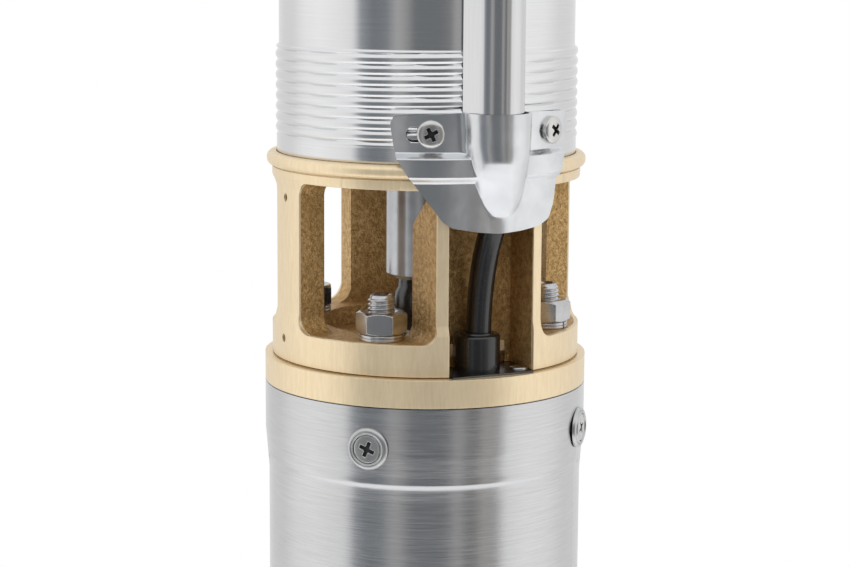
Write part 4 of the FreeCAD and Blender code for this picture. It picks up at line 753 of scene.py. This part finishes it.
def make_shoe():
    """Grid between the left and right edges and between the toe and the head, with its rows
    close together over the two steps, as a sheet with its wall inwards; the screw slots are
    cut through it."""
    levels = np.concatenate([np.linspace(*rows, endpoint=False) for rows in SHOE_ROWS]
                            + [np.linspace(*SHOE_HEAD_ROWS)])
    over_hump = 1 - np.cos(np.linspace(0, np.pi, 80, endpoint=False))
    side = np.concatenate([np.linspace(0, 0.25, 40, endpoint=False), 0.25 + 0.25 * over_hump,
                           np.linspace(0.75, 1, 40)])[None, :]
    level = levels[:, None] * np.ones_like(side)
    across, out = shoe_sheet(side, level)
    angle = np.degrees(np.arctan2(across, out))
    toe = eased(angle, SHOE_TOE, 1.5)
    head = eased(angle, SHOE_HEAD, 1.5)
    share = (level - levels[0]) / (levels[-1] - levels[0])
    height = level + (toe - levels[0]) * np.clip(1 - 4 * share, 0, 1) ** 2
    height += (head - levels[-1]) * np.clip(4 * share - 3, 0, 1) ** 2
    across, out = shoe_sheet(side, height)
    grid = np.stack([across, -out, height + JOINT_MM], axis=-1)
    shoe = mesh_piece("shoe_sheet", [grid * MM])
    wall = shoe.modifiers.new("wall", "SOLIDIFY")
    wall.thickness = SHEET_WALL * MM
    wall.offset = -1.0
    cut_slots(shoe, SLOT_PLACES)
    return shoe


def slot_cutter(angle, height):
    """Straight-sided cutter for a level slot, 8.4 mm long and 4.4 mm high, with round ends:
    its outline at the two reaches, closed to its middle at both."""
    turn = np.linspace(-np.pi / 2, np.pi / 2, 13)
    right = np.stack([SLOT_STRAIGHT + SLOT_ROUND * np.cos(turn), SLOT_ROUND * np.sin(turn)],
                     axis=-1)
    outline = np.concatenate([right, -right])
    inner, outer = SLOT_REACH
    rows = [np.c_[outline * spread, np.full(len(outline), reach)]
            for spread, reach in ((0, inner), (1, inner), (1, outer), (0, outer))]
    return moved(np.stack(rows), around(angle, height))


def cut_slots(sheet, places):
    """Boolean difference with the slot cutters, applied."""
    cutter = mesh_piece("slots", [slot_cutter(*place) for place in places], wrap=True)
    cut = sheet.modifiers.new("slots", "BOOLEAN")
    cut.object = cutter
    cut.solver = "EXACT"
    view = bpy.context.evaluated_depsgraph_get()
    data = bpy.data.meshes.new_from_object(sheet.evaluated_get(view))
    sheet.modifiers.clear()
    sheet.data = data
    bpy.data.objects.remove(cutter)


dress(make_shoe(), SHEET, "stainless_polished", "housing", "guard_shoe")
dress(make_guard(), GUARD, "stainless_polished", "housing", "cable_guard")


# Lip of the casing's ring over the front windows

LIP_ENDS = (18.0, 57.0)
LIP_PROFILE = [(38.02, 357.3), (38.02, 354.02), (46.27, 354.02), (46.43, 354.8),
               (46.43, 356.8), (46.04, 356.8), (46.04, 357.3), (38.02, 357.3)]


def ring_lip(side):
    """The lip's section carried between its two ends on one side of the guard. On the left
    the section runs the other way, so that its faces point outwards."""
    grid = part_ring(LIP_PROFILE, side * np.linspace(*LIP_ENDS, 40))
    return (grid if side > 0 else grid[:, ::-1]) * MM


lip = mesh_piece("ring_lip", [ring_lip(1), ring_lip(-1)])
paint(lip, BRASS)
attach(lip, "housing")


# Screws

HEAD_POINTS = 101
SKIRT_DEPTH = 0.7
# Share of a recess's depth past which its faces get the painted shade
SHADE_DEPTH_SHARE = 0.3


def disc_grid(count):
    """Square grid mapped onto the unit disc: x sqrt(1 - y^2/2), y sqrt(1 - x^2/2)."""
    line = np.linspace(-1, 1, count)
    x, y = np.meshgrid(line, line)
    return x * np.sqrt(1 - y * y / 2), y * np.sqrt(1 - x * x / 2)


def cross_recess(x, y, reach, half_width, depth):
    """Depth of a cross recess: each arm is as deep as its middle up to its rounded end and
    its steep sides, and the arms meet in a round middle."""
    def arm(along, across):
        end = 1 - smooth_step(reach * 0.82, reach, np.abs(along))
        side = 1 - smooth_step(half_width * 0.8, half_width * 1.2, np.abs(across))
        return end * side
    middle = 1 - smooth_step(half_width * 1.5, half_width * 2.0, np.hypot(x, y))
    return depth * np.maximum(np.maximum(arm(x, y), arm(y, x)), middle)


def screw_head(radius, crown, edge, power, recess, turn=0.0):
    """Grids of a head: a disc edge + (crown - edge) (1 - r^power)^0.5 high, less its cross
    recess, and a skirt from its rim down to under the seat, closed below. With them comes each
    face's mark, which is 1 deep inside the recess, where the painted shade goes."""
    x, y = disc_grid(HEAD_POINTS)
    share = np.clip(np.hypot(x, y), 0, 1)
    height = edge + (crown - edge) * (1 - share ** power) ** 0.5
    spin = math.radians(turn)
    u = (x * math.cos(spin) + y * math.sin(spin)) * radius
    v = (y * math.cos(spin) - x * math.sin(spin)) * radius
    sunk = cross_recess(u, v, *recess)
    top = np.stack([x * radius, y * radius, height - sunk], axis=-1)
    ring = np.concatenate([top[0, :-1], top[:-1, -1], top[-1, :0:-1], top[:0:-1, 0]])
    foot = ring * (1, 1, 0) - (0, 0, SKIRT_DEPTH)
    skirt = np.stack([foot * (0, 0, 1), foot, ring])
    skirt = np.concatenate([skirt, skirt[:, :1]], axis=1)
    in_painted_shade = (sunk[:-1, :-1] + sunk[1:, 1:]) / 2 > SHADE_DEPTH_SHARE * recess[2]
    marks = np.concatenate([in_painted_shade.ravel(), np.zeros((skirt.shape[1] - 1) * 2, bool)])
    return [top, skirt], marks


def make_screws(name, places, head):
    """One object from heads placed at (angle, height, reach, turn)."""
    grids = []
    marks = []
    for angle, height, reach, turn in places:
        pair, marked = screw_head(*head, turn=turn)
        grids += [moved(grid, around(angle, height, reach)) for grid in pair]
        marks.append(marked)
    return mesh_piece(name, grids, smooth_angle=50,
                      marks=np.concatenate(marks).astype(np.int32))


def dress_screws(name, places, head, node):
    """Bright heads with painted shade in their recesses, in place of a node's."""
    screws = dress(make_screws(name, places, head), BRIGHT, "steel_bright", "housing", node)
    # the deep recess faces take the painted shade, the rest bright steel
    paint(screws, BRIGHT, RECESS_PAINTED_SHADE)


# Radius, crown, edge and power of a head, and its recess's reach, half width and depth
PAN_HEAD = (4.0, 1.95, 0.85, 2.4, (2.15, 0.5, 1.4))
SUNK_HEAD = (4.0, 0.55, 0.35, 2.0, (2.45, 0.52, 1.0))
SHOE_SEAT = 46.35
SHOE_SCREW_LEVEL = 70.1
CLIP_SCREW_LEVEL = BARREL_TOP - 10.5
dress_screws("shoe_screw_heads", [(-24.0, SHOE_SCREW_LEVEL, SHOE_SEAT, 28),
                                  (25.2, SHOE_SCREW_LEVEL, SHOE_SEAT, 52)],
             PAN_HEAD, "shoe_screws")
dress_screws("clip_screw_heads", [(-24.0, CLIP_SCREW_LEVEL, SHOE_SEAT, 10),
                                  (24.0, CLIP_SCREW_LEVEL, SHOE_SEAT, 70)],
             PAN_HEAD, "clip_screws")


def cup_washer_grid(reach, angle, height):
    """Cup washer: an outer flange, a narrow groove, a raised inner rim and the cup inside
    it."""
    profile = [(6.15, 0.0), (6.15, 0.35), (5.95, 0.75), (5.55, 1.05), (5.2, 1.12),
               (5.05, 0.95), (4.95, 0.95), (4.85, 1.2), (4.65, 1.42), (4.4, 1.45),
               (4.22, 1.25), (4.15, 0.5), (4.15, 0.0), (6.15, 0.0)]
    return moved(turned(profile, 64), around(angle, height, reach))


QUARTERS = (-45, 45, 135, -135)
SCREW_TURNS = (-22, 30, 60, 75)
SCREW_RINGS = {"shell_screws": (-20.5, 48.75), "base_screws": (21.0 - JOINT_MM, 47.7)}
HEAD_STAND = 0.75
for label, (level, reach) in SCREW_RINGS.items():
    spots = [(angle, level, reach + HEAD_STAND, turn)
             for angle, turn in zip(QUARTERS, SCREW_TURNS)]
    dress_screws(label[:-1] + "_heads", spots, SUNK_HEAD, label)
cup_washers = mesh_piece("rolled_cup_washers", [
    cup_washer_grid(reach, angle, level)
    for level, reach in SCREW_RINGS.values() for angle in QUARTERS], wrap=True)
dress(cup_washers, CUP, "steel_bright", "housing", "cup_washers")


# Studs and nuts

STUD_CIRCLE = 38.1
STUD_RADIUS = 3.98
STUD_STEPS = 40
THREAD_PITCH = 1.25
THREAD_DEPTH = 0.62
STUD_FOOT, STUD_END, BEVEL_FOOT = -12.0, 22.2, 21.4
NUT_TURNS = (-29, -34, 20, -50)
NUT_FOOT = 11.5
NUT_HEIGHT = 6.5
NUT_HALF_WIDTH = 6.5
NUT_CHAMFER = 6.2
WASHER_FOOT = 9.6
WASHER_SPLITS = (150, 28, 200, -160)


def upright(angle, foot):
    """Matrix from a piece's own axes to the stud at the angle, Z up from the foot."""
    turn = math.radians(angle)
    place = Vector((math.sin(turn), -math.cos(turn), 0)) * STUD_CIRCLE * MM
    return Matrix.Translation(place + Vector((0, 0, JOINT + foot * MM)))


def stud_grid():
    """Threaded stud: its radius less THREAD_DEPTH times a rounded triangle wave along a
    right-hand helix, with a bevelled end that has a shallow hollow."""
    angle = circle(STUD_STEPS)
    height = np.arange(STUD_FOOT, STUD_END, THREAD_PITCH / 9)[:, None]
    turns = height / THREAD_PITCH - angle / (2 * np.pi)
    wave = np.abs(2 * (turns - np.floor(turns)) - 1)
    depth = THREAD_DEPTH * smooth_step(0.08, 0.92, wave)
    bevel = np.clip(height - BEVEL_FOOT, 0, None) * 0.9
    thread = about_axis(np.minimum(STUD_RADIUS - depth, STUD_RADIUS - bevel), angle, height)
    foot = turned([(0.0, STUD_FOOT)], STUD_STEPS)
    cap = turned([(3.05, 22.8), (2.6, 22.85), (2.3, 22.5), (1.6, 22.0), (0.0, 21.7)],
                 STUD_STEPS)
    return np.concatenate([foot, thread, cap])


def nut_grid(turn):
    """Hexagon nut: the smaller of the hexagon's radius, half its width over the cosine of
    the angle from a face's middle, and a 30 degree cone's at both ends, so that its corners
    are bevelled; the bore has a bevelled mouth."""
    angle = np.radians(np.arange(0, 360, 2.5))[None, :]
    face = np.mod(np.degrees(angle) + 30, 60) - 30
    hexagon_radius = NUT_HALF_WIDTH / np.cos(np.radians(face))
    level = np.array([0.0, 0.17, 0.3, 0.45, 0.6, 0.8, 3.2, 5.7, 5.9, 6.05, 6.2, 6.33,
                      NUT_HEIGHT])[:, None]
    from_end = np.minimum(level, NUT_HEIGHT - level)
    cone = NUT_CHAMFER + from_end / math.tan(math.radians(30))
    side = about_axis(np.minimum(hexagon_radius, cone), angle, level)
    low = turned([(4.02, 0.9), (4.7, 0.0)], angle.shape[1])
    high = turned([(4.7, NUT_HEIGHT), (4.02, 5.8)], angle.shape[1])
    spin = Matrix.Rotation(math.radians(turn) - math.pi / 2, 3, "Z")
    return np.concatenate([low, side, high]) @ np.array(spin).T


def split_washer_grid(split):
    """Split washer with a fine groove round its rim, as an open ring whose two ends face
    each other across the split."""
    profile = [(4.3, 0.02), (6.45, 0.02), (6.6, 0.15), (6.6, 0.84), (6.38, 0.9), (6.38, 1.0),
               (6.6, 1.06), (6.6, 1.75), (6.45, 1.88), (4.3, 1.88), (4.3, 0.02)]
    return part_ring(profile, split + np.linspace(2.5, 357.5, 72))


studs = mesh_piece("threaded_studs", [moved(stud_grid(), upright(angle, 0.0))
                                      for angle in QUARTERS], wrap=True, smooth_angle=60)
dress(studs, FASTENER, "steel_bright", "housing", "studs")
nuts = mesh_piece("hexagon_nuts", [moved(nut_grid(turn), upright(angle, NUT_FOOT))
                                   for angle, turn in zip(QUARTERS, NUT_TURNS)],
                  wrap=True, smooth_angle=20)
dress(nuts, FASTENER, "steel_bright", "housing", "stud_nuts")
split_washers = mesh_piece("split_washers", [
    moved(split_washer_grid(split), upright(angle, WASHER_FOOT))
    for angle, split in zip(QUARTERS, WASHER_SPLITS)])
dress(split_washers, FASTENER, "steel_bright", "housing", "spring_washers")


# Rubber plug of the lead, its plate and screw, and the sand slinger

GLAND_CENTRE = (-0.5, -35.6)
GLAND_PROFILE = [(0.0, -3.0), (6.9, -3.0), (6.9, 10.0), (6.8, 10.5), (6.5, 10.85),
                 (6.1, 11.0), (5.1, 11.0), (4.95, 11.35), (4.3, 11.4), (0.0, 11.2)]
PLATE_CORNERS = ((-13.0, -45.9), (13.0, -31.7))
PLATE_TOP = 0.55
PLATE_SCREW = (10.9, -40.6)
SCREW_PROFILE = [(2.7, 0.0), (2.7, 0.3), (2.5, 0.55), (1.6, 0.75), (0.0, 0.8)]
SLINGER_PROFILE = [(0.0, 307.2), (9.0, 307.2), (9.35, 309.0), (9.5, 312.0), (9.5, 316.0),
                   (9.25, 318.0), (8.3, 319.8), (8.2, 322.3), (7.9, 322.6), (0.0, 322.6)]


def turned_piece(name, profile, steps, centre):
    """Profile turned about an upright line through the centre, both in millimetres."""
    return mesh_piece(name, [(turned(profile, steps) + centre) * MM], wrap=True)


def box_grid(low, high):
    """Closed box as a grid whose first and last rows are its two ends' middles."""
    corner = np.array([(0, 0), (1, 0), (1, 1), (0, 1), (0, 0)])
    middle = (np.asarray(low, float) + high) / 2
    rows = [np.c_[low[0] + (high[0] - low[0]) * corner[:, 0],
                  low[1] + (high[1] - low[1]) * corner[:, 1], np.full(5, level)]
            for level in (low[2], high[2])]
    ends = [np.tile((middle[0], middle[1], level), (5, 1)) for level in (low[2], high[2])]
    return np.stack([ends[0], rows[0], rows[1], ends[1]])


gland = turned_piece("gland_plug", GLAND_PROFILE, 72, (*GLAND_CENTRE, JOINT_MM))
dress(gland, RUBBER, "rubber_black", "housing", "lead_gland")
plate = mesh_piece("gland_bar", [box_grid(
    (*PLATE_CORNERS[0], JOINT_MM), (*PLATE_CORNERS[1], JOINT_MM + PLATE_TOP)) * MM])
dress(plate, PLATE, "steel_bright", "housing", "gland_plate")
plate_screw = turned_piece("gland_bar_screw", SCREW_PROFILE, 48,
                           (*PLATE_SCREW, JOINT_MM + PLATE_TOP))
dress(plate_screw, FASTENER, "steel_bright", "housing", "gland_plate_screw")
slinger = turned_piece("slinger_bell", SLINGER_PROFILE, 72, (0, 0, 0))
dress(slinger, RUBBER, "rubber_black", "rotor", "sand_slinger")


# Closing spring of the valve, made at one length; in the valve it shortens as the poppet lifts

SPRING_RADIUS, SPRING_WIRE, SPRING_TURNS = 6.4, 0.6, 5.0
SPRING_FOOT, SPRING_TOP = 582.0, 605.5
SPRING_GAP = 0.05


def make_spring():
    """Wire of round section along a helix between the poppet and the cage, its ends closed."""
    turn = np.linspace(0, SPRING_TURNS * 2 * np.pi, 151)[:, None]
    low = SPRING_FOOT + SPRING_WIRE + SPRING_GAP
    high = SPRING_TOP - SPRING_WIRE - SPRING_GAP
    level = low + (high - low) * turn / turn[-1]
    about = circle(12)
    grid = closed_ends(about_axis(SPRING_RADIUS + SPRING_WIRE * np.cos(about), turn,
                                  level + SPRING_WIRE * np.sin(about)))
    return mesh_piece("closing_spring", [grid[:, ::-1] * MM], wrap=True, smooth_angle=60)


spring = dress(make_spring(), BRIGHT, "steel_bright", "housing", "valve_spring")
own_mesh(spring)


# Stage and light

# Tones that metal sees round the pump, each at a share of the circle: from behind the pump,
# by the left, to the camera's side at one half, and back by the right
STUDIO_TONES = [
    (0.000, 0.82), (0.100, 0.76), (0.150, 0.78), (0.200, 0.95), (0.250, 1.0),
    (0.310, 0.92), (0.338, 0.85), (0.357, (0.30, 0.32, 0.34)),
    (0.385, (0.19, 0.205, 0.22)), (0.415, (0.22, 0.235, 0.25)), (0.437, 0.42),
    (0.455, 0.34), (0.475, (0.17, 0.18, 0.19)), (0.530, (0.17, 0.18, 0.19)),
    (0.550, (0.22, 0.22, 0.225)), (0.562, 0.40), (0.576, 0.34), (0.586, 0.21),
    (0.606, 0.22), (0.618, (0.44, 0.42, 0.40)), (0.640, (0.36, 0.35, 0.34)),
    (0.652, 0.42), (0.668, 0.90), (0.720, 1.0), (0.780, 0.96), (0.840, 0.80),
    (0.900, 0.78), (1.000, 0.82)]
STUDIO_ROOF = (0.93, 0.94, 0.95)
STUDIO_DULL = (0.78, 0.79, 0.80)
WHITE = (1.0, 1.0, 1.0)
FLAG_TILT = 0.2
FLAG_EDGE = (0.46, 0.62)


def make_world():
    """White studio for the camera. Polished metal sees dark flags in front of the pump, with
    pale strips between them. They fade out where |z| + FLAG_TILT z is within FLAG_EDGE, from
    about 23 to 31 degrees over the level and from 35 to 51 degrees under it."""
    world = bpy.data.worlds.new("studio")
    bpy.context.scene.world = world
    finish = Finish(world)
    x, y, z = finish.apart(finish.add("ShaderNodeTexCoord", out="Generated"))
    ahead = x * math.sin(VIEW_ANGLE) - y * math.cos(VIEW_ANGLE)
    right = x * math.cos(VIEW_ANGLE) + y * math.sin(VIEW_ANGLE)
    share = finish.maths("ARCTAN2", right, ahead) / (2 * math.pi) + 0.5
    flags = finish.add("ShaderNodeValToRGB", {"stops": STUDIO_TONES}, {"Fac": share})
    height = finish.maths("ABSOLUTE", z)
    beyond = finish.between(height + z * FLAG_TILT, 0.0, 1.0, FLAG_EDGE)
    studio = finish.blend(beyond, flags, STUDIO_ROOF)
    seen, glossy, clear = finish.outputs(
        "ShaderNodeLightPath", ("Is Camera Ray", "Is Glossy Ray", "Is Transmission Ray"))
    lit = finish.blend(glossy, STUDIO_DULL, studio)
    colour = finish.blend(finish.maths("MAXIMUM", seen, clear), lit, WHITE)
    back = finish.add("ShaderNodeBackground", None, {"Color": colour, "Strength": 1.0})
    finish.add("ShaderNodeOutputWorld", None, {"Surface": back})


FLOOR_RINGS = (0.0, 0.05, 0.3, 0.45)
FLOOR_LEVEL = -0.0002
FLOOR_FADE = (0.20, 0.43)


def make_floor():
    """Pale round floor that fades into the white round it, between two distances from the
    axis, where the camera sees it."""
    grid = turned([(radius, 0.0) for radius in FLOOR_RINGS], 64)
    floor = mesh_piece("floor", [grid[:, ::-1]], wrap=True)
    floor.location.z = FLOOR_LEVEL
    finish = new_finish("pale_floor")
    distance = finish.add("ShaderNodeVectorMath", {"operation": "LENGTH"},
                          {0: finish.place()}, "Value")
    rim = finish.between(distance, 0.0, 1.0, FLOOR_FADE)
    seen = finish.add("ShaderNodeLightPath", out="Is Camera Ray")
    body = finish.add("ShaderNodeBsdfDiffuse", None, {"Color": (0.93, 0.93, 0.93)})
    glow = finish.add("ShaderNodeEmission", None, {"Color": WHITE})
    mixed = finish.add("ShaderNodeMixShader", None, {0: rim * seen, 1: body, 2: glow})
    finish.add("ShaderNodeOutputMaterial", None, {"Surface": mixed})
    paint(floor, finish.owner)


LAMP_AIM = (0, 0, 0.33)


def soft_lamp(name, place, size, power):
    """Wide lamp that faces the pump and isn't itself mirrored in it."""
    data = bpy.data.lights.new(name, "AREA")
    data.shape = "RECTANGLE"
    data.size, data.size_y = size
    data.energy = power
    lamp = link(name, data)
    lamp.visible_glossy = False
    facing = (Vector(place) - Vector(LAMP_AIM)).to_track_quat("Z", "Y").to_matrix()
    lamp.matrix_world = Matrix.Translation(place) @ facing.to_4x4()


make_world()
make_floor()
soft_lamp("key", (-1.05, -0.35, 1.0), (0.5, 0.9), 9.0)
soft_lamp("fill", (0.75, -0.85, 0.8), (0.5, 0.9), 5.0)
bpy.context.scene.view_settings.view_transform = "Standard"
